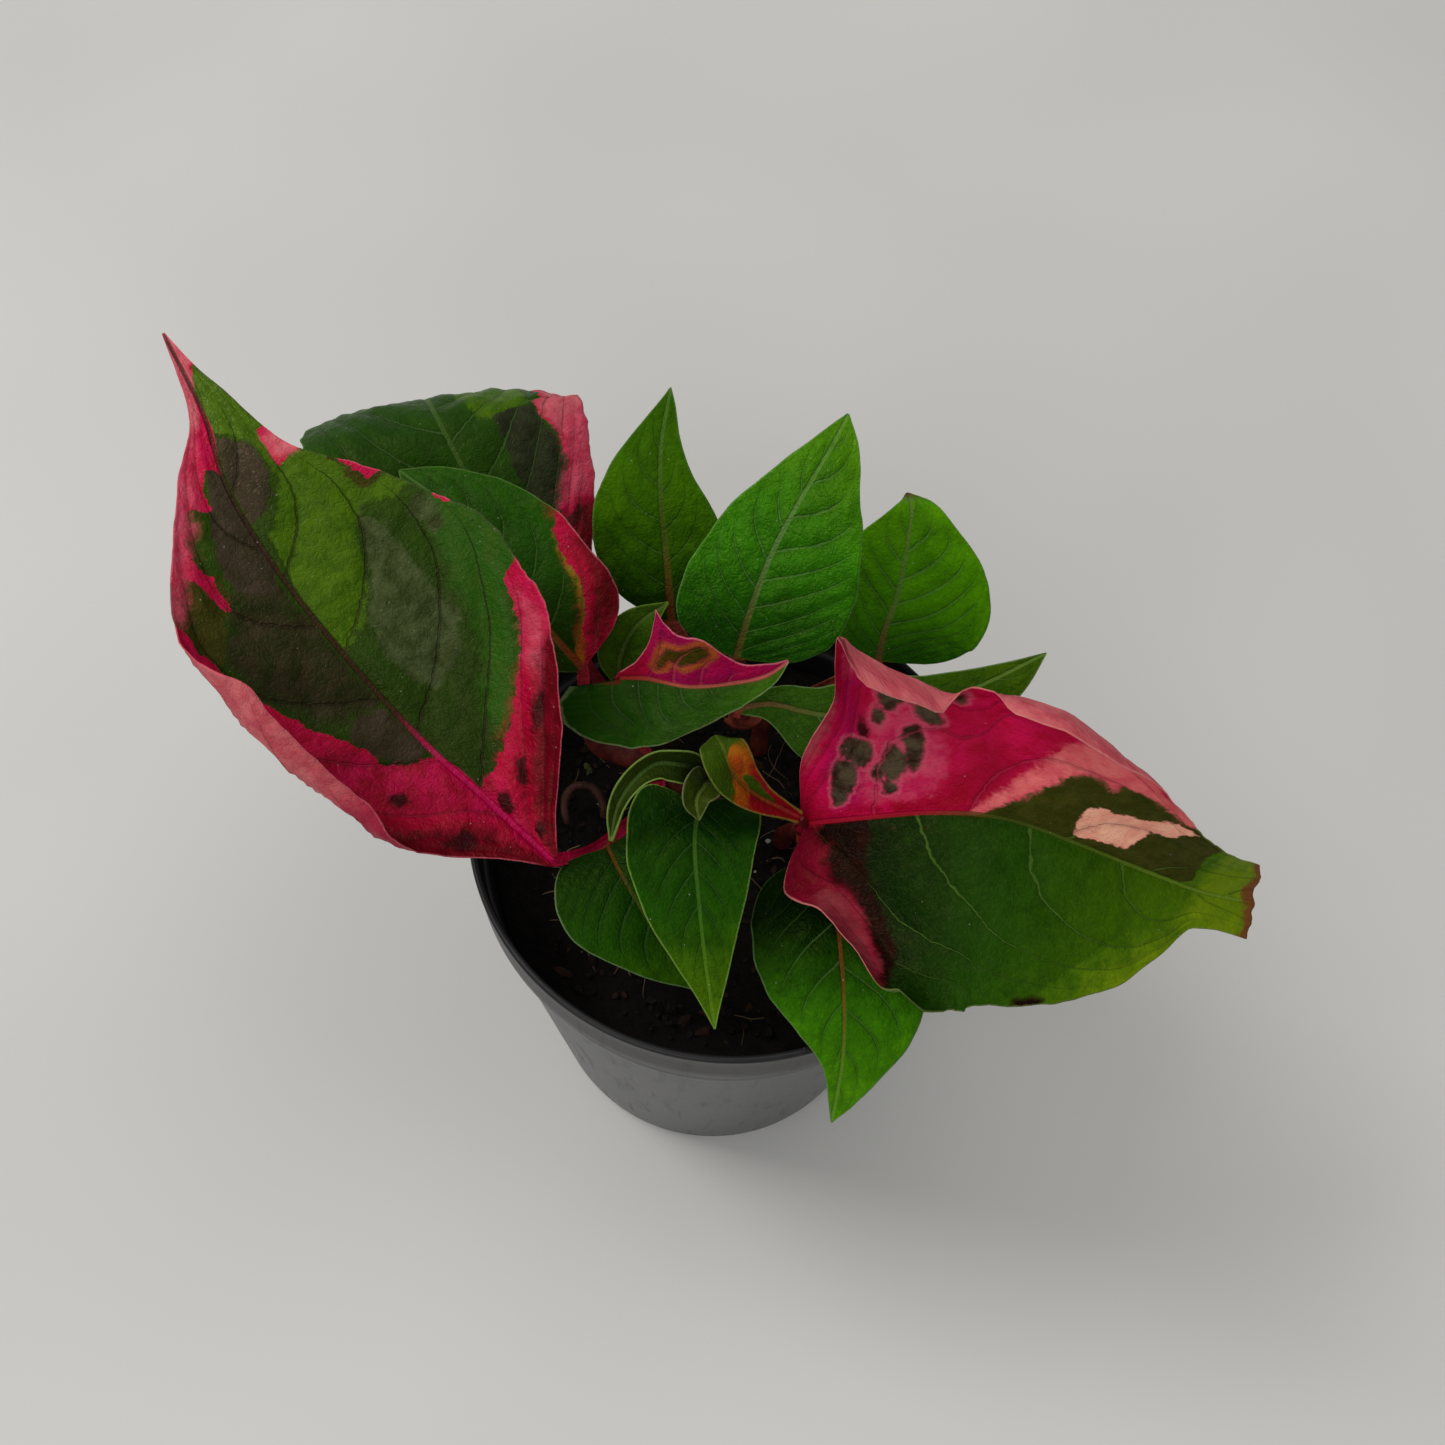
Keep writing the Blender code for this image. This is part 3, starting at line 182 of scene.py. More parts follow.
        fold=[(0, 35, 35), (0.5, 25, 25), (1, -15, -15)],
        curl=[(0, 20, 20), (1, -10, -10)],
        across=[-1, -0.5, 0, 0.5, 1], steps=13),
    "leaf_apex_left": dict(
        rib=[(-2.6, -5.6, 76.8), (-3.2, -7.6, 79), (-4, -9.9, 79.4), (-3.5, -11.6, 77.9)],
        face=[(0, (0, -0.3, 0.9)), (1, (0, -0.5, 0.8))],
        left=[(0, 0.5), (0.25, 2), (0.5, 2.2), (0.75, 1.5), (1, 0.1)],
        right=[(0, 0.5), (0.25, 2), (0.5, 2.3), (0.75, 1.5), (1, 0.1)],
        fold=[(0, 25, 25), (1, 20, 20)],
        curl=[(0, 0, 0), (1, 0, 0)],
        across=[-1, -0.5, 0, 0.5, 1], steps=9),
    "leaf_apex_right": dict(
        rib=[(0.2, -4.6, 76.8), (0.5, -5.6, 78), (1.1, -6.5, 77.8)],
        face=[(0, (0.2, -0.3, 0.9)), (1, (0.4, -0.3, 0.8))],
        left=[(0, 0.5), (0.3, 1.6), (0.6, 1.3), (1, 0.2)],
        right=[(0, 0.5), (0.3, 1.6), (0.6, 1.3), (1, 0.2)],
        fold=[(0, 20, 20), (1, 10, 10)],
        curl=[(0, 0, 0), (1, 0, 0)],
        across=[-1, -0.5, 0, 0.5, 1], steps=6),
}
STEMS = {
    "stem_left": dict(path=[(-5, 5.4, 49.7), (-5.2, 5.4, 51.2), (-9.1, 5.9, 54.8), (-12.2, 5.5, 59), (-16.5, 5, 62.5), (-18, 5.8, 65.8)], radius=1.15),
    "stem_centre": dict(path=[(0.5, 3, 49.7), (0.4, 2.8, 51.5), (-1, 0, 58), (-3, -2.6, 66), (-3.6, -3.8, 71)], radius=1.2),
    "stem_back": dict(path=[(3, 14, 49.7), (3, 14.1, 51.5), (3, 15.2, 55), (2.4, 16, 60)], radius=1.15),
    "stem_right": dict(path=[(7, 1, 49.7), (7, 0.9, 51.5), (8.4, -1, 57), (9, -3, 62.4)], radius=1.15),
    "root_loop": dict(path=[(-20.3, 0.9, 49.7), (-20.5, 1.1, 50.4), (-20.8, 3, 51.6), (-19.7, 4.3, 53), (-17.5, 4.3, 53), (-16.2, 3.3, 51.6), (-15.8, 2.4, 50.4), (-15.8, 2.3, 49.7)], radius=0.5),
}
PETIOLE = 0.75     # petiole radius

# ---------------------------------------------------------------- the pot, in millimetres
RIM_RADIUS = 32.0
RIM_HEIGHT = 57.9
BASE_RADIUS = 22.4
BAND_HEIGHT = 7.0  # the stepped-out band under the rim
WALL = 0.8
FLOOR = 1.2
SOIL_TOP = 49.3
GAP = 0.35         # between soil and pot
DRAIN_HOLES = 6

# ---------------------------------------------------------------- curves and tables
def table(rows, u):
    """Monotone cubic (PCHIP) interpolation of rows [(u, a, b, ...)] at the array u."""
    rows = np.array(rows, float)
    x, y = rows[:, 0], rows[:, 1:]
    h = np.diff(x)[:, None]
    d = np.diff(y, axis=0) / h
    m = np.zeros_like(y)
    m[0], m[-1] = d[0], d[-1]
    for i in range(1, len(x) - 1):
        w1, w2 = 2 * h[i] + h[i - 1], h[i] + 2 * h[i - 1]
        with np.errstate(divide="ignore", invalid="ignore"):
            mean = (w1 + w2) / (w1 / d[i - 1] + w2 / d[i])
        m[i] = np.where(d[i - 1] * d[i] > 0, mean, 0.0)
    u = np.clip(np.asarray(u, float), x[0], x[-1])
    k = np.clip(np.searchsorted(x, u, side="right") - 1, 0, len(x) - 2)
    t = ((u - x[k]) / (x[k + 1] - x[k]))[:, None]
    return ((2 * t**3 - 3 * t**2 + 1) * y[k] + (t**3 - 2 * t**2 + t) * h[k] * m[k]
            + (-2 * t**3 + 3 * t**2) * y[k + 1] + (t**3 - t**2) * h[k] * m[k + 1])


def spline(points, n=40):
    """Centripetal Catmull-Rom curve through the points, densely sampled."""
    p = np.array(points, float)
    if len(p) == 2:
        p = np.array([p[0], (2 * p[0] + p[1]) / 3, (p[0] + 2 * p[1]) / 3, p[1]])
    q = np.vstack([2 * p[0] - p[1], p, 2 * p[-1] - p[-2]])
    out = []
    for i in range(1, len(q) - 2):
        t0 = 0.0
        t1 = t0 + np.linalg.norm(q[i] - q[i - 1]) ** 0.5
        t2 = t1 + np.linalg.norm(q[i + 1] - q[i]) ** 0.5
        t3 = t2 + np.linalg.norm(q[i + 2] - q[i + 1]) ** 0.5
        t = np.linspace(t1, t2, n, endpoint=False)[:, None]
        a1 = (t1 - t) / (t1 - t0) * q[i - 1] + (t - t0) / (t1 - t0) * q[i]
        a2 = (t2 - t) / (t2 - t1) * q[i] + (t - t1) / (t2 - t1) * q[i + 1]
        a3 = (t3 - t) / (t3 - t2) * q[i + 1] + (t - t2) / (t3 - t2) * q[i + 2]
        b1 = (t2 - t) / (t2 - t0) * a1 + (t - t0) / (t2 - t0) * a2
        b2 = (t3 - t) / (t3 - t1) * a2 + (t - t1) / (t3 - t1) * a3
        out.append((t2 - t) / (t2 - t1) * b1 + (t - t1) / (t2 - t1) * b2)
    out.append(p[-1:])
    return np.vstack(out)


def along(path, s):
    """Points and unit tangents at the shares s of a dense path's length."""
    c = np.concatenate([[0], np.cumsum(np.linalg.norm(np.diff(path, axis=0), axis=1))])

    def at(share):
        return np.stack([np.interp(share * c[-1], c, path[:, k]) for k in range(3)], 1)

    t = at(np.clip(s + 0.012, 0, 1)) - at(np.clip(s - 0.012, 0, 1))
    return at(s), unit(t)


def unit(v):
    return v / np.maximum(np.linalg.norm(v, axis=-1, keepdims=True), 1e-12)


# ---------------------------------------------------------------- leaves
def blade_surface(leaf, us, ss, fine=28):
    """Upper surface of a blade at the shares us along and ss across (-1 left margin, +1 right)."""
    P, T = along(spline(leaf["rib"]), us)
    face = table([(u, *n) for u, n in leaf["face"]], us)
    N = unit(face - (face * T).sum(1)[:, None] * T)
    S = np.cross(T, N)
    folds = np.radians(table(leaf["fold"], us))
    curls = np.radians(table(leaf["curl"], us))
    points = np.zeros((len(us), len(ss), 3))
    normals = np.zeros_like(points)
    widths = np.zeros((len(us), len(ss)))
    k = (np.arange(fine) + 0.5) / fine
    knots = np.arange(fine + 1) / fine
    for half, side, columns in ((0, -1, ss < 0), (1, 1, ss >= 0)):
        w = table(leaf["left" if side < 0 else "right"], us)[:, 0]
        fold, curl = folds[:, half], curls[:, half]
        power = leaf.get("power", (2, 2))[half]
        reach, at = leaf.get("lobe", (0, 0))[half], leaf.get("lobe_at", (0.07, 0.07))[half]
        back = reach * (us / at) * np.exp(1 - us / at)
        turn = fold[:, None] + curl[:, None] * k[None, :] ** power
        out = np.hstack([np.zeros((len(us), 1)), np.cumsum(np.cos(turn), 1)]) / fine * w[:, None]
        up = np.hstack([np.zeros((len(us), 1)), np.cumsum(np.sin(turn), 1)]) / fine * w[:, None]
        for j in np.where(columns)[0]:
            s = abs(ss[j])
            x = np.array([np.interp(s, knots, row) for row in out])
            z = np.array([np.interp(s, knots, row) for row in up])
            a = fold + curl * s**power
            points[:, j] = P + S * (side * x)[:, None] + N * z[:, None] - T * (back * s**1.3)[:, None]
            normals[:, j] = -np.sin(a)[:, None] * S * side + np.cos(a)[:, None] * N
            widths[:, j] = w
    return points, normals, widths

# ---------------------------------------------------------------- node graphs
class Graph:
    """A material's node tree, written as expressions."""

    def __init__(self, name):
        self.material = bpy.data.materials.new(name)
        self.material.use_nodes = True
        self.tree = self.material.node_tree
        self.tree.nodes.clear()
        self.out = self.tree.nodes.new("ShaderNodeOutputMaterial")
        self.shader = self.tree.nodes.new("ShaderNodeBsdfPrincipled")
        self.tree.links.new(self.shader.outputs[0], self.out.inputs["Surface"])

    def put(self, socket, value):
        if isinstance(value, bpy.types.NodeSocket):
            self.tree.links.new(value, socket)
        elif hasattr(value, "__len__") and socket.type == "RGBA" and len(value) == 3:
            socket.default_value = (*value, 1.0)
        else:
            socket.default_value = value

    def node(self, kind, **props):
        n = self.tree.nodes.new(kind)
        for k, v in props.items():
            setattr(n, k, v)
        return n

    def attribute(self, name, output="Fac"):
        return self.node("ShaderNodeAttribute", attribute_name=name).outputs[output]

    def split(self, vector):
        n = self.node("ShaderNodeSeparateXYZ")
        self.put(n.inputs[0], vector)
        return n.outputs[0], n.outputs[1], n.outputs[2]

    def join(self, x, y, z):
        n = self.node("ShaderNodeCombineXYZ")
        for i, v in enumerate((x, y, z)):
            self.put(n.inputs[i], v)
        return n.outputs[0]

    def math(self, operation, a, b=None, c=None, clamp=False):
        n = self.node("ShaderNodeMath", operation=operation, use_clamp=clamp)
        for i, v in enumerate((a, b, c)):
            if v is not None:
                self.put(n.inputs[i], v)
        return n.outputs[0]

    def add(self, *terms):
        total = terms[0]
        for t in terms[1:]:
            total = self.math("ADD", total, t)
        return total

    def times(self, *terms):
        total = terms[0]
        for t in terms[1:]:
            total = self.math("MULTIPLY", total, t)
        return total

    def step(self, x, low, high, to_low=0.0, to_high=1.0):
        """Smooth step from to_low at low to to_high at high."""
        n = self.node("ShaderNodeMapRange", interpolation_type="SMOOTHSTEP")
        for i, v in enumerate((x, low, high, to_low, to_high)):
            self.put(n.inputs[i], v)
        return n.outputs[0]

    def line(self, x, low, high, to_low=0.0, to_high=1.0):
        n = self.node("ShaderNodeMapRange", interpolation_type="LINEAR")
        for i, v in enumerate((x, low, high, to_low, to_high)):
            self.put(n.inputs[i], v)
        return n.outputs[0]

    def scale(self, vector, by):
        n = self.node("ShaderNodeMapping")
        self.put(n.inputs["Vector"], vector)
        self.put(n.inputs["Scale"], by if hasattr(by, "__len__") else (by, by, by))
        return n.outputs[0]

    def noise(self, vector, scale, detail=2.0, rough=0.55, distortion=0.0, output="Fac"):
        n = self.node("ShaderNodeTexNoise")
        self.put(n.inputs["Vector"], vector)
        n.inputs["Scale"].default_value = scale
        n.inputs["Detail"].default_value = detail
        n.inputs["Roughness"].default_value = rough
        n.inputs["Distortion"].default_value = distortion
        return n.outputs[output]

    def cells_both(self, vector, scale):
        """Distance to the nearest cell's centre, and that cell's random colour."""
        n = self.node("ShaderNodeTexVoronoi", feature="F1")
        self.put(n.inputs["Vector"], vector)
        n.inputs["Scale"].default_value = scale
        return n.outputs["Distance"], n.outputs["Color"]

    def cells(self, vector, scale, feature="F1", output="Distance", randomness=1.0):
        n = self.node("ShaderNodeTexVoronoi", feature=feature)
        self.put(n.inputs["Vector"], vector)
        n.inputs["Scale"].default_value = scale
        n.inputs["Randomness"].default_value = randomness
        return n.outputs[output]

    def mix(self, factor, a, b, blend="MIX"):
        n = self.node("ShaderNodeMix", data_type="RGBA", blend_type=blend, clamp_factor=True)
        self.put(n.inputs[0], factor)
        self.put(n.inputs[6], a)
        self.put(n.inputs[7], b)
        return n.outputs[2]

    def blendf(self, factor, a, b):
        n = self.node("ShaderNodeMix", data_type="FLOAT", clamp_factor=True)
        self.put(n.inputs[0], factor)
        self.put(n.inputs[2], a)
        self.put(n.inputs[3], b)
        return n.outputs[0]

    def bump(self, height, distance_mm, strength=1.0):
        n = self.node("ShaderNodeBump")
        n.inputs["Strength"].default_value = strength
        n.inputs["Distance"].default_value = distance_mm * MM
        self.put(n.inputs["Height"], height)
        return n.outputs[0]

    def finish(self, colour, roughness, normal=None, **constants):
        self.put(self.shader.inputs["Base Color"], colour)
        self.put(self.shader.inputs["Roughness"], roughness)
        if normal is not None:
            self.put(self.shader.inputs["Normal"], normal)
        for name, value in constants.items():
            socket = self.shader.inputs[name.replace("_", " ")]
            socket.default_value = value
        return self.material


def warm(colour, by):
    return tuple(min(1.0, c * by) for c in colour)


# ---------------------------------------------------------------- what each leaf looks like
#
# Colours are linear. Outlines are (u, s): u along the midrib from base 0 to tip 1, s across from
# the left margin -1 to the right margin +1; 1.3 is safely past a margin.
#   green      blade colours at its base, middle and tip; the very dark base colours are partly painted shade of the crowded centre
#   rib        midrib colours at its base, middle and tip
#   vein       colour of the lateral veins, and how strongly they show
#   left_veins, right_veins   u at which the laterals leave the midrib
#   bow        (a, b): how far a lateral runs on towards the tip, u = a |s| + b |s|^3
#   quilt      height of the swelling between laterals, mm
#   margin     colour of the thin line along the margin
#   patches    (kind, outlines); a later kind lies over an earlier one
#   paints     kind: (colour, second colour, ragged mm, soft mm)
#   under      underside colours: green parts, coloured parts
PINK = ((0.50, 0.006, 0.060), (0.33, 0.002, 0.026))
UNDER_PINK = ((0.55, 0.125, 0.135), (0.44, 0.062, 0.082))
UNDER_GREEN = ((0.050, 0.110, 0.025), (0.060, 0.130, 0.028), (0.075, 0.150, 0.030))

PAINTS = {
    "pink": ((0.54, 0.003, 0.062), (0.42, 0.001, 0.030), 0.30, 0.07),
    "rose": ((0.42, 0.001, 0.050), (0.28, 0.001, 0.020), 0.5, 0.6),
    "crimson": ((0.33, 0.001, 0.018), (0.40, 0.001, 0.031), 0.8, 2.0),
    # dusk: darker crimson towards the leaf bases, partly the leaf's own colour and partly painted shade
    "dusk": ((0.090, 0.001, 0.005), (0.15, 0.001, 0.009), 0.8, 1.6),
    "stains": ((0.030, 0.001, 0.004), (0.060, 0.001, 0.006), 0.35, 0.40),
    "band": ((0.80, 0.17, 0.17), (0.70, 0.095, 0.12), 0.45, 0.55),
    "blush": ((0.94, 0.47, 0.32), (0.84, 0.33, 0.24), 0.35, 0.18),
    "pale": ((0.60, 0.12, 0.15), (0.52, 0.07, 0.10), 0.5, 0.9),
    "sheen": ((0.60, 0.075, 0.13), (0.52, 0.035, 0.08), 0.7, 1.5),
    "lace": ((0.56, 0.050, 0.110), (0.50, 0.012, 0.075), 0.6, 0.9),
    "violet": ((0.36, 0.002, 0.074), (0.42, 0.002, 0.060), 0.6, 1.6),
    "wine": ((0.125, 0.0006, 0.009), (0.17, 0.0008, 0.016), 0.3, 1.0),
    "flap": ((0.34, 0.012, 0.040), (0.25, 0.003, 0.024), 0.12, 0.4),
    "umber": ((0.030, 0.026, 0.010), (0.012, 0.020, 0.003), 1.4, 1.6),
    "dull": ((0.22, 0.028, 0.038), (0.16, 0.012, 0.022), 0.5, 0.6),
    "side": ((0.44, 0.055, 0.080), (0.36, 0.025, 0.055), 0.5, 0.7),
    "lime": ((0.150, 0.230, 0.003), (0.105, 0.190, 0.002), 0.9, 1.8),
    "ash": ((0.021, 0.029, 0.011), (0.013, 0.018, 0.007), 0.5, 0.40),
    "bright": ((0.062, 0.140, 0.002), (0.036, 0.100, 0.001), 0.45, 0.40),
    "mid": ((0.016, 0.085, 0.004), (0.024, 0.085, 0.003), 0.8, 1.2),
    "slate": ((0.052, 0.078, 0.024), (0.024, 0.042, 0.008), 0.5, 0.35),
    "brown": ((0.046, 0.033, 0.020), (0.028, 0.024, 0.011), 0.4, 0.30),
    "olive": ((0.030, 0.033, 0.002), (0.046, 0.046, 0.005), 0.35, 0.15),
    "maroon": ((0.0036, 0.0004, 0.0006), (0.012, 0.0010, 0.0008), 0.25, 0.45),
    "spots": ((0.072, 0.056, 0.032), (0.020, 0.010, 0.006), 0.22, 0.28, (0.56, 0.07, 0.13), 0.35),
    "eye": ((0.030, 0.040, 0.001), (0.070, 0.040, 0.002), 0.22, 0.40, (0.44, 0.10, 0.010), 0.9),
    "yellow": ((0.26, 0.19, 0.008), (0.30, 0.13, 0.008), 0.4, 0.5),
    "orange": ((0.30, 0.085, 0.006), (0.26, 0.035, 0.004), 0.30, 0.70),
    "red": ((0.24, 0.004, 0.006), (0.18, 0.002, 0.008), 0.4, 0.7),
    "leafy": ((0.030, 0.065, 0.003), (0.022, 0.050, 0.002), 0.3, 0.35),
}
UNDER_PAINTS = {
    "pink": UNDER_PINK, "rose": UNDER_PINK, "crimson": ((0.50, 0.06, 0.09), (0.42, 0.03, 0.06)),
    "dusk": ((0.34, 0.02, 0.05), (0.28, 0.015, 0.04)), "stains": ((0.20, 0.02, 0.03), (0.15, 0.01, 0.02)),
    "band": ((0.74, 0.24, 0.22), (0.66, 0.17, 0.17)), "blush": ((0.80, 0.42, 0.32), (0.74, 0.33, 0.26)),
    "pale": ((0.70, 0.24, 0.24), (0.62, 0.17, 0.18)), "sheen": UNDER_PINK, "lace": UNDER_PINK, "dull": UNDER_PINK, "violet": UNDER_PINK, "wine": UNDER_PINK, "flap": UNDER_PINK, "umber": ((0.06, 0.06, 0.03), (0.05, 0.05, 0.025)), "side": UNDER_PINK,
    "lime": UNDER_GREEN[1:3], "ash": ((0.055, 0.075, 0.035), (0.05, 0.06, 0.03)),
    "bright": UNDER_GREEN[1:3], "mid": UNDER_GREEN[0:2],
    "slate": ((0.055, 0.075, 0.035), (0.05, 0.06, 0.03)), "brown": ((0.07, 0.06, 0.035), (0.06, 0.05, 0.03)),
    "olive": ((0.07, 0.08, 0.02), (0.08, 0.09, 0.02)), "maroon": ((0.12, 0.03, 0.03), (0.09, 0.02, 0.02)),
    "spots": ((0.30, 0.08, 0.08), (0.25, 0.06, 0.06)), "eye": ((0.08, 0.09, 0.02), (0.10, 0.10, 0.02)),
    "yellow": ((0.20, 0.22, 0.05), (0.16, 0.20, 0.04)), "orange": ((0.40, 0.20, 0.05), (0.36, 0.14, 0.05)),
    "red": ((0.34, 0.04, 0.05), (0.28, 0.03, 0.04)), "leafy": UNDER_GREEN[0:2],
}


def look(green, rib, vein, left_veins, right_veins, **more):
    made = dict(green=green, rib=rib, vein=vein, left_veins=left_veins, right_veins=right_veins,
                margin=(0.11, 0.20, 0.025), under_green=UNDER_GREEN, paints=PAINTS, under_paints=UNDER_PAINTS)
    made.update(more)
    return made


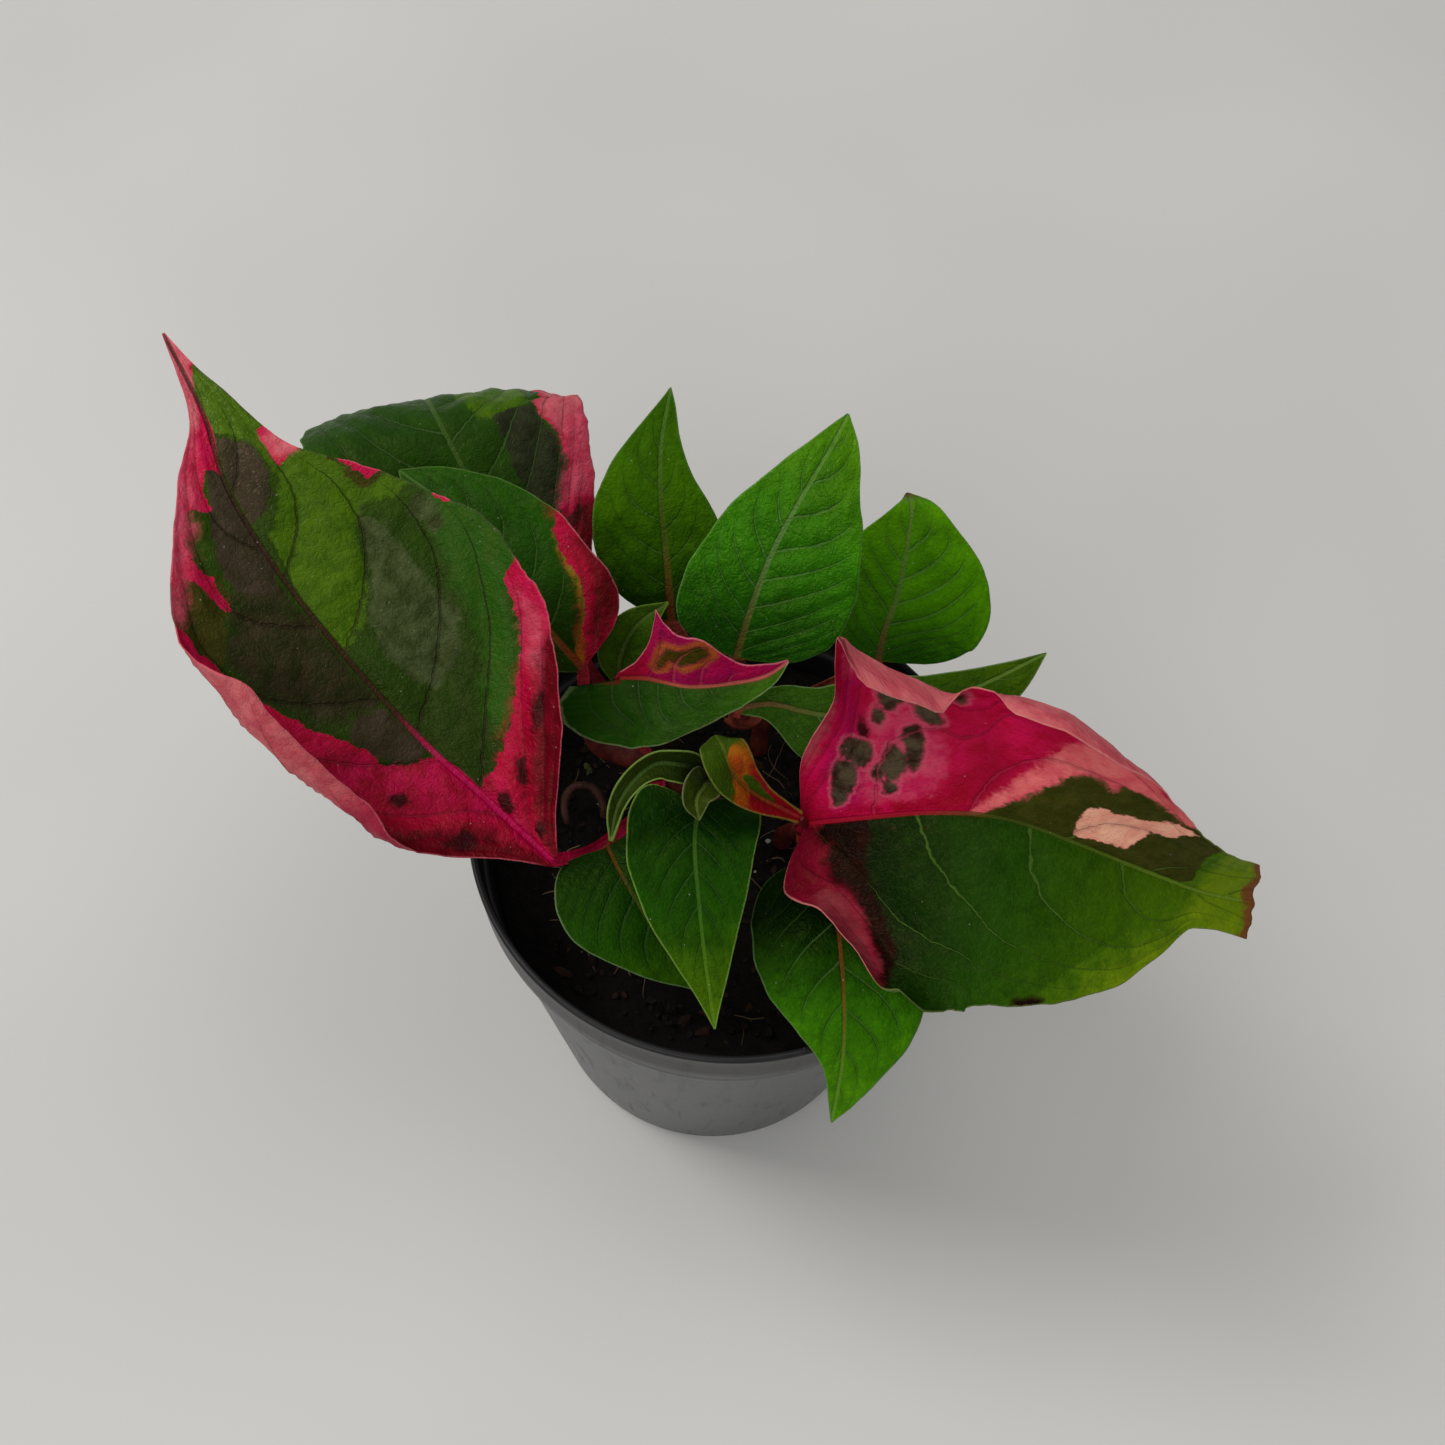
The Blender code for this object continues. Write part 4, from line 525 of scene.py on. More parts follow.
LOOKS = {
    "leaf_left_large": look(
        green=((0.011, 0.032, 0.001), (0.016, 0.052, 0.002), (0.026, 0.062, 0.001)),
        rib=((0.42, 0.002, 0.07), (0.035, 0.010, 0.008), (0.022, 0.014, 0.008)), rib_width=0.30, rib_strength=0.85, rib_turn=(0.24, 0.34),
        vein=((0.016, 0.010, 0.006), 0.55), red_vein=(0.50, 0.05, 0.09), red_vein_strength=0.12, bow=(0.17, 0.25), crinkle=1.1,
        left_veins=[0.10, 0.23, 0.355, 0.495, 0.63, 0.76, 0.87], right_veins=[0.03, 0.15, 0.28, 0.44, 0.58, 0.72, 0.85],
        quilt=0.36, rumple=0.30, wave=0.025, margin=(0.06, 0.07, 0.03), red_margin=(0.62, 0.12, 0.16), foot=0.0,
        petiole_colour=(0.30, 0.002, 0.030), rough=0.34, shine=0.20,
        patches=[
            ("mid", [[(0.19, 0.40), (0.24, 0.38), (0.30, 0.54), (0.36, 0.62), (0.45, 0.70), (0.52, 0.80), (0.58, 0.95), (0.6, 1.3), (0.42, 1.3), (0.35, 0.84), (0.25, 0.74), (0.2, 0.58)]]),
            ("bright", [[(0.44, 0.02), (0.55, 0.02), (0.65, 0.10), (0.66, 0.22), (0.69, 0.38), (0.72, 0.52), (0.79, 0.60), (0.83, 0.62), (0.83, 1.3), (0.60, 1.3), (0.595, 0.85), (0.61, 0.70), (0.58, 0.52), (0.53, 0.40), (0.49, 0.30), (0.46, 0.18)],
                        [(0.82, 0.05), (0.90, 0.0), (0.92, 0.2), (0.93, 0.8), (0.91, 1.3), (0.81, 1.3), (0.80, 0.7), (0.80, 0.45), (0.815, 0.2)]]),
            ("slate", [[(0.34, 0.18), (0.31, 0.25), (0.33, 0.45), (0.38, 0.60), (0.42, 0.56), (0.50, 0.60), (0.58, 0.66), (0.60, 0.62), (0.56, 0.50), (0.50, 0.36), (0.46, 0.22), (0.40, 0.15)],
                       [(0.50, 0.78), (0.55, 0.80), (0.575, 0.90), (0.58, 1.0), (0.53, 0.93), (0.505, 0.85)]]),
            ("umber", [[(0.345, -0.03), (0.36, -0.25), (0.40, -0.40), (0.47, -0.50), (0.53, -0.60), (0.60, -0.42), (0.62, -0.08), (0.50, -0.02)]]),
            ("brown", [[(0.255, -0.02), (0.25, -0.12), (0.275, -0.24), (0.30, -0.28), (0.34, -0.32), (0.36, -0.20), (0.345, -0.03)],
                       [(0.67, 0.03), (0.80, 0.05), (0.81, 0.12), (0.80, 0.30), (0.79, 0.50), (0.78, 0.58), (0.74, 0.50), (0.70, 0.35), (0.68, 0.20)],
                       [(0.57, -0.08), (0.60, -0.35), (0.65, -0.45), (0.70, -0.40), (0.775, -0.30), (0.775, 0.0), (0.60, 0.0)]]),
            ("olive", [[(0.53, -0.62), (0.60, -0.40), (0.63, -0.46), (0.66, -0.70), (0.66, -1.3), (0.60, -1.3)],
                       [(0.63, 0.80), (0.655, 0.82), (0.67, 0.86), (0.68, 0.92), (0.71, 0.98), (0.72, 1.3), (0.63, 1.3), (0.63, 0.90)]]),
            ("pink", [[(-0.3, -1.3), (-0.3, 1.3), (0.39, 1.3), (0.395, 0.99), (0.385, 0.91), (0.37, 0.87), (0.34, 0.835), (0.30, 0.80), (0.265, 0.75), (0.23, 0.66), (0.20, 0.56), (0.18, 0.42), (0.165, 0.28), (0.157, 0.10), (0.155, 0.03), (0.20, 0.03), (0.235, 0.0), (0.245, -0.06), (0.25, -0.14), (0.27, -0.23), (0.29, -0.29), (0.315, -0.285), (0.35, -0.34), (0.39, -0.42), (0.45, -0.50), (0.50, -0.57), (0.53, -0.66), (0.555, -0.72), (0.56, -0.78), (0.60, -0.90), (0.62, -1.3)],
                      [(0.655, -1.3), (0.655, -0.85), (0.64, -0.70), (0.615, -0.56), (0.595, -0.50), (0.58, -0.42), (0.60, -0.44), (0.625, -0.50), (0.635, -0.50), (0.645, -0.60), (0.66, -0.70), (0.69, -0.80), (0.705, -0.86), (0.71, -1.3)],
                      [(0.715, -1.3), (0.72, -0.70), (0.716, -0.50), (0.714, -0.37), (0.73, -0.40), (0.74, -0.43), (0.76, -0.40), (0.765, -0.30), (0.763, -0.12), (0.752, -0.03), (0.76, 0.0), (0.80, 0.05), (0.83, 0.08), (0.86, 0.05), (0.90, 0.04), (0.91, 0.2), (0.92, 0.5), (0.93, 0.75), (0.935, 1.3), (1.1, 1.3), (1.1, -1.3)],
                      [(0.735, 0.62), (0.755, 0.655), (0.785, 0.72), (0.805, 0.80), (0.815, 1.3), (0.755, 1.3), (0.755, 0.95), (0.752, 0.82), (0.74, 0.72)],
                      [(0.64, 0.90), (0.66, 0.92), (0.70, 0.98), (0.71, 1.3), (0.64, 1.3)],
                      [(0.53, 0.97), (0.56, 0.99), (0.57, 1.3), (0.53, 1.3)]]),
            ("sheen", [[(0.16, 0.93), (0.17, 0.82), (0.23, 0.76), (0.29, 0.82), (0.35, 0.90), (0.30, 0.95), (0.22, 0.95)],
                       [(0.60, -1.3), (0.61, -0.88), (0.66, -0.80), (0.70, -0.70), (0.76, -0.66), (0.85, -0.6), (0.95, -0.5), (1.1, -0.6), (1.1, -1.3)]]),
            ("pale", [[(0.75, 0.72), (0.79, 0.76), (0.81, 1.3), (0.76, 1.3)], [(0.82, -1.3), (0.83, -0.5), (0.88, -0.1), (0.93, 0.5), (0.94, 1.3), (1.1, 1.3), (1.1, -1.3)]]),
            ("rose", [[(-0.3, -1.3), (-0.3, 0.2), (0.16, 0.15), (0.155, 0.03), (0.20, 0.03), (0.235, 0.0), (0.25, -0.14), (0.27, -0.24), (0.29, -0.30), (0.33, -0.33), (0.36, -0.50), (0.34, -1.3)]]),
            ("crimson", [[(-0.3, 0.12), (0.06, 0.14), (0.10, 0.2), (0.15, 0.3), (0.17, 0.42), (0.20, 0.6), (0.24, 0.72), (0.18, 0.78), (0.14, 1.3), (-0.3, 1.3)],
                         [(-0.3, -0.4), (0.05, -0.30), (0.10, -0.26), (0.15, -0.32), (0.20, -0.45), (0.26, -0.50), (0.30, -0.62), (0.3, -1.3), (-0.3, -1.3)]]),
            # darker crimson at the base, partly painted shade
            ("dusk", [[(-0.3, -1.3), (-0.3, -0.5), (0.06, -0.35), (0.10, -0.33), (0.14, -0.42), (0.18, -0.6), (0.24, -0.62), (0.28, -0.75), (0.28, -1.3)],
                      [(0.0, 0.30), (0.05, 0.30), (0.09, 0.42), (0.13, 0.55), (0.17, 0.70), (0.21, 0.80), (0.25, 0.90), (0.27, 1.3), (0.0, 1.3)]]),
            ("stains", [[(0.115, 0.34), (0.13, 0.36), (0.15, 0.42), (0.145, 0.50), (0.12, 0.47), (0.11, 0.40)],
                        [(0.095, 0.06), (0.11, 0.02), (0.13, 0.09), (0.13, 0.18), (0.115, 0.22), (0.10, 0.16)],
                        [(0.155, 0.66), (0.175, 0.68), (0.19, 0.78), (0.175, 0.84), (0.16, 0.76)],
                        [(0.22, -0.38), (0.235, -0.36), (0.25, -0.42), (0.245, -0.47), (0.225, -0.46)],
                        [(0.035, 0.30), (0.05, 0.24), (0.06, 0.40), (0.045, 0.55)],
                        [(0.10, -0.66), (0.12, -0.52), (0.135, -0.56), (0.14, -0.8), (0.11, -0.9)]]),
        ]),
    "leaf_right_large": look(
        burnt_colour=(0.17, 0.060, 0.014),         grow={"spots": 0.14}, turn=(0.12, 0.50), green=((0.0008, 0.011, 0.0004), (0.010, 0.054, 0.0006), (0.070, 0.160, 0.0008)), bite=1.1,
        rib=((0.30, 0.004, 0.02), (0.040, 0.060, 0.006), (0.13, 0.22, 0.02)), rib_width=0.20, rib_turn=(0.25, 0.42),
        vein=((0.070, 0.145, 0.020), 0.60), red_vein=(0.60, 0.05, 0.11), red_vein_strength=0.22, bow=(0.13, 0.72),
        left_veins=[-0.05, 0.16, 0.36, 0.56, 0.74], right_veins=[0.02, 0.25, 0.48, 0.68, 0.85],
        quilt=0.20, crinkle=0.8, rumple=0.26, wave=0.02, margin=(0.16, 0.20, 0.05), red_margin=(0.70, 0.24, 0.22), foot=0.0,
        petiole_colour=(0.20, 0.004, 0.016), rough=0.42, shine=0.09, burnt=(0.965, 0.985),
        patches=[
            ("bright", [[(0.60, 1.3), (0.604, 0.97), (0.64, 0.86), (0.68, 0.72), (0.73, 0.56), (0.79, 0.42), (0.832, 0.27), (0.832, -0.15), (0.82, -0.65), (0.82, -1.3), (1.1, -1.3), (1.1, 1.3)]]),
            ("lime", [[(0.845, 0.3), (0.84, 1.3), (1.1, 1.3), (1.1, -1.3), (0.85, -1.3), (0.86, -0.3)], [(0.70, 1.3), (0.71, 0.90), (0.77, 0.74), (0.83, 0.72), (0.84, 1.3)]]),
            ("olive", [[(0.372, 0.0), (0.375, -0.04), (0.412, -0.06), (0.448, -0.14), (0.472, -0.24), (0.50, -0.39), (0.532, -0.52), (0.572, -0.53), (0.604, -0.66), (0.64, -0.76), (0.676, -0.81), (0.71, -0.86), (0.73, -1.3), (0.822, -1.3), (0.82, -0.65), (0.832, -0.15), (0.81, -0.04), (0.70, -0.02), (0.50, 0.0)]]),
            ("maroon", [[(0.018, 0.0), (0.06, -0.02), (0.145, 0.0), (0.156, 0.13), (0.145, 0.25), (0.15, 0.39), (0.17, 0.54), (0.192, 0.62), (0.204, 0.72), (0.20, 0.83), (0.19, 1.3), (0.05, 1.3), (0.02, 0.5)],
                        [(0.57, 0.95), (0.60, 0.94), (0.63, 0.96), (0.62, 1.3), (0.58, 1.3)]]),
            ("pink", [[(-0.3, -1.3), (-0.3, 0.0), (0.372, 0.0), (0.375, -0.04), (0.412, -0.06), (0.448, -0.14), (0.472, -0.24), (0.50, -0.39), (0.532, -0.52), (0.572, -0.53), (0.604, -0.66), (0.64, -0.76), (0.676, -0.81), (0.71, -0.86), (0.73, -1.3)],
                      [(0.568, -0.04), (0.556, -0.16), (0.56, -0.29), (0.584, -0.36), (0.612, -0.40), (0.648, -0.49), (0.684, -0.68), (0.716, -0.82), (0.752, -0.92), (0.735, -0.70), (0.724, -0.60), (0.684, -0.45), (0.672, -0.31), (0.668, -0.17), (0.62, -0.10), (0.584, -0.07)]]),
            ("crimson", [[(-0.3, 1.3), (-0.3, -1.3), (0.02, -0.80), (0.036, -0.55), (0.046, -0.25), (0.056, -0.12), (0.048, 0.0), (0.03, 0.1), (0.05, 0.45), (0.07, 0.6), (0.07, 1.3)],
                         [(0.20, 0.0), (0.36, -0.02), (0.40, -0.10), (0.42, -0.25), (0.40, -0.45), (0.34, -0.30), (0.29, -0.14), (0.20, -0.06)]]),
            ("band", [[(0.355, 0.0), (0.372, -0.05), (0.404, -0.12), (0.428, -0.21), (0.452, -0.33), (0.472, -0.47), (0.484, -0.60), (0.512, -0.72), (0.54, -0.86), (0.58, -0.90), (0.66, -0.93), (0.74, -1.3), (0.71, -0.86), (0.676, -0.81), (0.64, -0.76), (0.604, -0.66), (0.572, -0.53), (0.532, -0.52), (0.50, -0.39), (0.472, -0.24), (0.448, -0.14), (0.412, -0.06), (0.385, 0.0)]]),
            ("blush", [[(0.568, -0.04), (0.556, -0.16), (0.56, -0.29), (0.584, -0.36), (0.612, -0.40), (0.648, -0.49), (0.684, -0.68), (0.716, -0.82), (0.752, -0.92), (0.735, -0.70), (0.724, -0.60), (0.684, -0.45), (0.672, -0.31), (0.668, -0.17), (0.62, -0.10), (0.584, -0.07)]]),
            ("violet", [[(0.08, -0.12), (0.14, -0.08), (0.17, -0.14), (0.16, -0.40), (0.18, -0.60), (0.20, -0.82), (0.17, -0.90), (0.12, -0.74), (0.08, -0.60), (0.075, -0.30)]]),
            ("flap", [[(-0.3, 0.0), (-0.3, 1.3), (0.188, 1.3), (0.184, 0.90), (0.172, 0.83), (0.156, 0.76), (0.14, 0.66), (0.116, 0.65), (0.096, 0.69), (0.06, 0.46), (0.032, 0.30), (0.020, 0.15), (0.012, 0.0)]]),
            ("wine", [[(-0.3, 0.02), (0.03, 0.08), (0.06, 0.45), (0.10, 0.66), (0.13, 0.64), (0.13, 1.3), (-0.3, 1.3)]]),
            ("dull", [[(0.082, 1.3), (0.088, 0.90), (0.10, 0.74), (0.128, 0.70), (0.152, 0.76), (0.168, 0.86), (0.20, 1.0), (0.20, 1.3)]]),
            ("side", [[(0.035, -0.82), (0.052, -0.78), (0.076, -0.79), (0.104, -0.86), (0.128, -0.92), (0.14, -0.96), (0.15, -1.3), (0.03, -1.3)]]),
            ("lace", [[(0.165, -0.53), (0.20, -0.46), (0.24, -0.48), (0.27, -0.52), (0.305, -0.46), (0.312, -0.30), (0.30, -0.14), (0.255, -0.06), (0.20, -0.07), (0.155, -0.08), (0.135, -0.16), (0.15, -0.24), (0.17, -0.27), (0.195, -0.30), (0.19, -0.40)],
                      [(0.17, -0.80), (0.185, -0.72), (0.205, -0.78), (0.215, -0.90), (0.20, -0.97), (0.18, -0.92)]]),
            ("stains", [[(0.166, -0.54), (0.178, -0.52), (0.188, -0.43), (0.188, -0.37), (0.174, -0.40), (0.164, -0.47)],
                        [(0.185, -0.98), (0.20, -0.93), (0.215, -0.97), (0.21, -1.3), (0.19, -1.3)]]),
            ("spots", [[(0.10, -0.49), (0.112, -0.50), (0.13, -0.45), (0.144, -0.35), (0.14, -0.29), (0.132, -0.25), (0.12, -0.21), (0.107, -0.17), (0.092, -0.14), (0.08, -0.16), (0.08, -0.23), (0.085, -0.32), (0.09, -0.43)],
                       [(0.12, -0.60), (0.132, -0.61), (0.148, -0.53), (0.168, -0.42), (0.184, -0.35), (0.188, -0.30), (0.176, -0.29), (0.163, -0.29), (0.149, -0.35), (0.14, -0.42), (0.128, -0.46), (0.12, -0.53)],
                       [(0.203, -0.47), (0.212, -0.50), (0.221, -0.47), (0.220, -0.43), (0.208, -0.41), (0.199, -0.43)],
                       [(0.219, -0.54), (0.226, -0.62), (0.240, -0.66), (0.252, -0.64), (0.256, -0.58), (0.248, -0.555), (0.243, -0.55), (0.240, -0.52), (0.233, -0.485), (0.225, -0.48)],
                       [(0.268, -0.56), (0.277, -0.59), (0.296, -0.59), (0.306, -0.55), (0.304, -0.51), (0.292, -0.485), (0.28, -0.49), (0.272, -0.51)],
                       [(0.247, -0.41), (0.259, -0.44), (0.269, -0.45), (0.275, -0.40), (0.274, -0.31), (0.268, -0.25), (0.256, -0.21), (0.248, -0.24), (0.248, -0.32), (0.243, -0.36)],
                       [(0.212, -0.28), (0.221, -0.31), (0.233, -0.315), (0.243, -0.29), (0.245, -0.24), (0.236, -0.19), (0.224, -0.155), (0.211, -0.155), (0.204, -0.19), (0.205, -0.24)],
                       [(0.187, -0.23), (0.200, -0.23), (0.200, -0.19), (0.195, -0.165), (0.183, -0.17), (0.180, -0.21)],
                       [(0.199, -0.15), (0.214, -0.15), (0.224, -0.14), (0.217, -0.11), (0.204, -0.10), (0.191, -0.105)],
                       [(0.312, -0.86), (0.322, -0.90), (0.334, -0.87), (0.331, -0.81), (0.318, -0.80)]]),
        ]),
    "leaf_back_left": look(
        green=((0.006, 0.038, 0.0006), (0.012, 0.056, 0.001), (0.028, 0.088, 0.001)),
        rib=((0.10, 0.03, 0.02), (0.045, 0.10, 0.015), (0.06, 0.13, 0.02)), vein=((0.06, 0.13, 0.03), 0.50),
        left_veins=[0.05, 0.16, 0.28, 0.40, 0.50, 0.60, 0.72, 0.84], right_veins=[0.05, 0.14, 0.26, 0.37, 0.48, 0.57, 0.68, 0.80],
        quilt=0.26, rumple=0.30, wave=0.03, red_margin=(0.72, 0.30, 0.28), petiole_colour=(0.17, 0.01, 0.018), shine=0.14,
        patches=[
            ("bright", [[(0.50, 0.25), (0.62, 0.2), (0.70, 0.3), (0.70, 0.6), (0.60, 0.66), (0.51, 0.6), (0.50, 0.45)]]),
            ("ash", [[(0.30, 0.42), (0.37, 0.36), (0.40, 0.33), (0.44, 0.36), (0.50, 0.35), (0.507, 0.50), (0.50, 0.65), (0.46, 0.64), (0.42, 0.72), (0.36, 0.76), (0.30, 0.70), (0.24, 0.60), (0.2, 0.4)]]),
            ("pink", [[(0.10, 1.3), (0.14, 0.80), (0.20, 0.68), (0.25, 0.60), (0.28, 0.62), (0.31, 0.70), (0.36, 0.77), (0.40, 0.75), (0.43, 0.72), (0.46, 0.65), (0.50, 0.64), (0.53, 0.70), (0.60, 0.76), (0.70, 0.82), (0.76, 1.3)]]),
            ("pale", [[(0.40, 0.80), (0.44, 0.72), (0.47, 0.66), (0.50, 0.66), (0.53, 0.72), (0.60, 0.80), (0.70, 1.3), (0.42, 1.3)]]),
            ("sheen", [[(0.28, 0.62), (0.36, 0.80), (0.44, 0.74), (0.46, 1.3), (0.28, 1.3)]]),
            # darker crimson at the base, partly painted shade
            ("dusk", [[(0.10, 1.3), (0.14, 0.80), (0.25, 0.62), (0.27, 0.85), (0.24, 1.3)]]),
            ("stains", [[(0.225, 0.66), (0.25, 0.62), (0.26, 0.82), (0.235, 0.84)]]),
        ]),
    "leaf_mid_left": look(
        green=((0.009, 0.030, 0.0006), (0.009, 0.066, 0.0008), (0.012, 0.074, 0.0008)),
        rib=((0.20, 0.03, 0.01), (0.05, 0.12, 0.02), (0.06, 0.14, 0.02)), vein=((0.06, 0.14, 0.02), 0.45),
        left_veins=[0.05, 0.2, 0.36, 0.52, 0.68, 0.84], right_veins=[0.05, 0.18, 0.33, 0.49, 0.65, 0.8],
        quilt=0.22, petiole_colour=(0.20, 0.01, 0.02), margin=(0.12, 0.22, 0.05),
        patches=[
            ("yellow", [[(0.08, 0.28), (0.16, 0.46), (0.24, 0.575), (0.34, 0.64), (0.42, 0.70), (0.46, 0.8), (0.2, 0.64), (0.1, 0.4)]]),
            ("orange", [[(-0.1, 0.0), (0.05, 0.05), (0.10, 0.22), (0.14, 0.38), (0.02, 0.3), (-0.1, 0.3)]]),
            ("pink", [[(-0.3, 0.18), (0.05, 0.29), (0.10, 0.35), (0.15, 0.49), (0.20, 0.60), (0.27, 0.66), (0.35, 0.68), (0.42, 0.72), (0.46, 0.80), (0.48, 0.90), (0.49, 1.3), (-0.3, 1.3)]]),
            ("crimson", [[(-0.3, 0.2), (0.10, 0.40), (0.20, 0.66), (0.35, 0.78), (0.50, 1.0), (0.50, 1.3), (-0.3, 1.3)]]),
            # darker crimson at the base, partly painted shade
            ("dusk", [[(-0.3, 0.3), (0.10, 0.46), (0.18, 0.66), (0.28, 0.80), (0.40, 0.90), (0.48, 1.3), (-0.3, 1.3)]]),
        ]),
    "leaf_centre_fold": look(
        green=((0.0081, 0.0486, 0.0009), (0.0099, 0.05805, 0.0009), (0.0234, 0.0918, 0.0018)),
        rib=((0.35, 0.02, 0.02), (0.40, 0.10, 0.06), (0.50, 0.10, 0.10)), rib_width=0.14, vein=((0.05, 0.11, 0.03), 0.38),
        red_vein=(0.55, 0.06, 0.10), left_veins=[0.02, 0.16, 0.32, 0.48, 0.64, 0.8], right_veins=[0.0, 0.10, 0.22, 0.36, 0.52, 0.68, 0.84],
        bow=(0.10, 0.3), quilt=0.18, wave=0.06, margin=(0.17, 0.24, 0.09), red_margin=(0.60, 0.16, 0.20), margin_strength=0.8,
        petiole_colour=(0.22, 0.01, 0.02),
        patches=[
            ("pink", [[(-0.3, -1.3), (-0.3, -0.05), (0.20, -0.03), (0.55, -0.01), (0.70, 0.01), (0.80, 0.03), (0.90, 0.08), (1.1, 0.25), (1.1, -1.3)]]),
            ("crimson", [[(-0.3, -1.3), (-0.3, 0.0), (0.08, -0.1), (0.16, -0.4), (0.18, -0.8), (0.3, -1.3)]]),
            ("violet", [[(0.20, -1.3), (0.20, -0.5), (0.16, 0.0), (0.55, 0.0), (0.7, 0.01), (0.9, 0.09), (1.1, 0.25), (1.1, -1.3)]]),
            ("eye", [[(0.22, -0.25), (0.25, -0.40), (0.32, -0.50), (0.38, -0.60), (0.48, -0.72), (0.58, -0.90), (0.60, -0.75), (0.56, -0.60), (0.52, -0.48), (0.45, -0.42), (0.40, -0.34), (0.33, -0.33), (0.27, -0.28)]]),
        ]),
    "leaf_back_centre": look(
        green=((0.004, 0.024, 0.0005), (0.036, 0.120, 0.001), (0.024, 0.088, 0.0006)),
        rib=((0.13, 0.03, 0.01), (0.060, 0.095, 0.010), (0.06, 0.14, 0.02)), rib_width=0.42, vein=((0.055, 0.12, 0.020), 0.42),
        left_veins=[0.03, 0.15, 0.29, 0.44, 0.59, 0.74, 0.88], right_veins=[0.03, 0.13, 0.26, 0.40, 0.55, 0.70, 0.85],
        quilt=0.12, petiole_colour=(0.16, 0.03, 0.02), margin=(0.10, 0.20, 0.05)),
    "leaf_back_tall": look(
        green=((0.003, 0.056, 0.001), (0.022, 0.165, 0.001), (0.048, 0.175, 0.001)),
        rib=((0.10, 0.06, 0.015), (0.10, 0.20, 0.05), (0.09, 0.22, 0.03)), rib_width=0.34, vein=((0.09, 0.20, 0.05), 0.42),
        left_veins=[0.02, 0.08, 0.16, 0.27, 0.39, 0.52, 0.66, 0.80], right_veins=[0.02, 0.10, 0.20, 0.31, 0.43, 0.57, 0.71, 0.85],
        bow=(0.20, 0.12), quilt=0.20, rumple=0.28, shine=0.34, rough=0.30, petiole_colour=(0.15, 0.04, 0.02), margin=(0.12, 0.25, 0.06)),
    "leaf_back_right": look(
        green=((0.014, 0.090, 0.001), (0.060, 0.235, 0.001), (0.054, 0.195, 0.001)),
        rib=((0.11, 0.05, 0.02), (0.08, 0.17, 0.03), (0.10, 0.18, 0.03)), rib_width=0.34, vein=((0.085, 0.19, 0.045), 0.42),
        left_veins=[0.02, 0.12, 0.25, 0.39, 0.54, 0.70, 0.85], right_veins=[0.02, 0.10, 0.20, 0.32, 0.46, 0.62, 0.80],
        bow=(0.30, 0.12), quilt=0.13, petiole_colour=(0.16, 0.03, 0.02), margin=(0.12, 0.24, 0.06), burnt=(0.90, 1.0)),
    "leaf_right_under": look(
        green=((0.0099, 0.0465, 0.0022), (0.0165, 0.062, 0.00165), (0.03575, 0.0868, 0.00165)),
        rib=((0.10, 0.04, 0.02), (0.06, 0.13, 0.02), (0.11, 0.20, 0.03)), rib_width=0.28, vein=((0.085, 0.16, 0.045), 0.55),
        left_veins=[0.04, 0.12, 0.20, 0.30, 0.42, 0.55, 0.70, 0.85], right_veins=[0.02, 0.08, 0.15, 0.25, 0.37, 0.50, 0.65, 0.82],
        quilt=0.16, petiole_colour=(0.16, 0.03, 0.02), margin=(0.14, 0.22, 0.07), margin_strength=0.75),
    "leaf_tiny_back": look(
        green=((0.020, 0.050, 0.002), (0.022, 0.060, 0.002), (0.030, 0.070, 0.004)),
        rib=((0.06, 0.08, 0.01), (0.05, 0.09, 0.015), (0.06, 0.10, 0.02)), rib_width=0.2, vein=((0.05, 0.09, 0.02), 0.35),
        left_veins=[0.05, 0.3, 0.55, 0.8], right_veins=[0.05, 0.28, 0.52, 0.78], quilt=0.08, fine=0.25,
        petiole_colour=(0.14, 0.02, 0.015)),
    "leaf_front_heart": look(
        green=((0.002, 0.020, 0.001), (0.007, 0.052, 0.001), (0.050, 0.120, 0.001)),
        rib=((0.04, 0.09, 0.012), (0.035, 0.11, 0.010), (0.09, 0.19, 0.01)), rib_width=0.17, vein=((0.035, 0.095, 0.020), 0.38),
        left_veins=[0.0, 0.07, 0.17, 0.30, 0.44, 0.58, 0.74], right_veins=[0.0, 0.08, 0.18, 0.30, 0.45, 0.60, 0.76],
        bow=(0.28, 0.10), quilt=0.16, rumple=0.12, margin=(0.16, 0.28, 0.05), margin_strength=0.75,
        petiole_colour=(0.05, 0.08, 0.015), fine=0.36),
    "leaf_front_left": look(
        green=((0.003, 0.020, 0.001), (0.007, 0.045, 0.001), (0.026, 0.092, 0.001)),
        rib=((0.10, 0.035, 0.006), (0.04, 0.06, 0.008), (0.05, 0.09, 0.01)), rib_width=0.15, vein=((0.025, 0.065, 0.018), 0.38),
        left_veins=[0.0, 0.1, 0.22, 0.38, 0.54, 0.72], right_veins=[0.0, 0.09, 0.2, 0.35, 0.52, 0.7],
        bow=(0.28, 0.10), quilt=0.14, rumple=0.14, margin=(0.12, 0.20, 0.08), margin_strength=0.75,
        petiole_colour=(0.14, 0.03, 0.012), fine=0.4),
    "leaf_front_right": look(
        turn=(0.26, 0.66), green=((0.0003, 0.010, 0.0003), (0.024, 0.130, 0.001), (0.052, 0.195, 0.001)),
        rib=((0.16, 0.015, 0.006), (0.13, 0.045, 0.008), (0.10, 0.24, 0.02)), rib_width=0.18, vein=((0.050, 0.12, 0.022), 0.55),
        left_veins=[0.02, 0.14, 0.28, 0.42, 0.56, 0.70, 0.84], right_veins=[0.02, 0.12, 0.26, 0.40, 0.54, 0.69, 0.84],
        bow=(0.22, 0.10), quilt=0.22, margin=(0.12, 0.22, 0.07), margin_strength=0.7,
        petiole_colour=(0.20, 0.02, 0.012), fine=0.42),
    "leaf_curled": look(
        green=((0.01116, 0.0225, 0.00248), (0.01364, 0.0275, 0.00248), (0.0186, 0.035, 0.00496)),
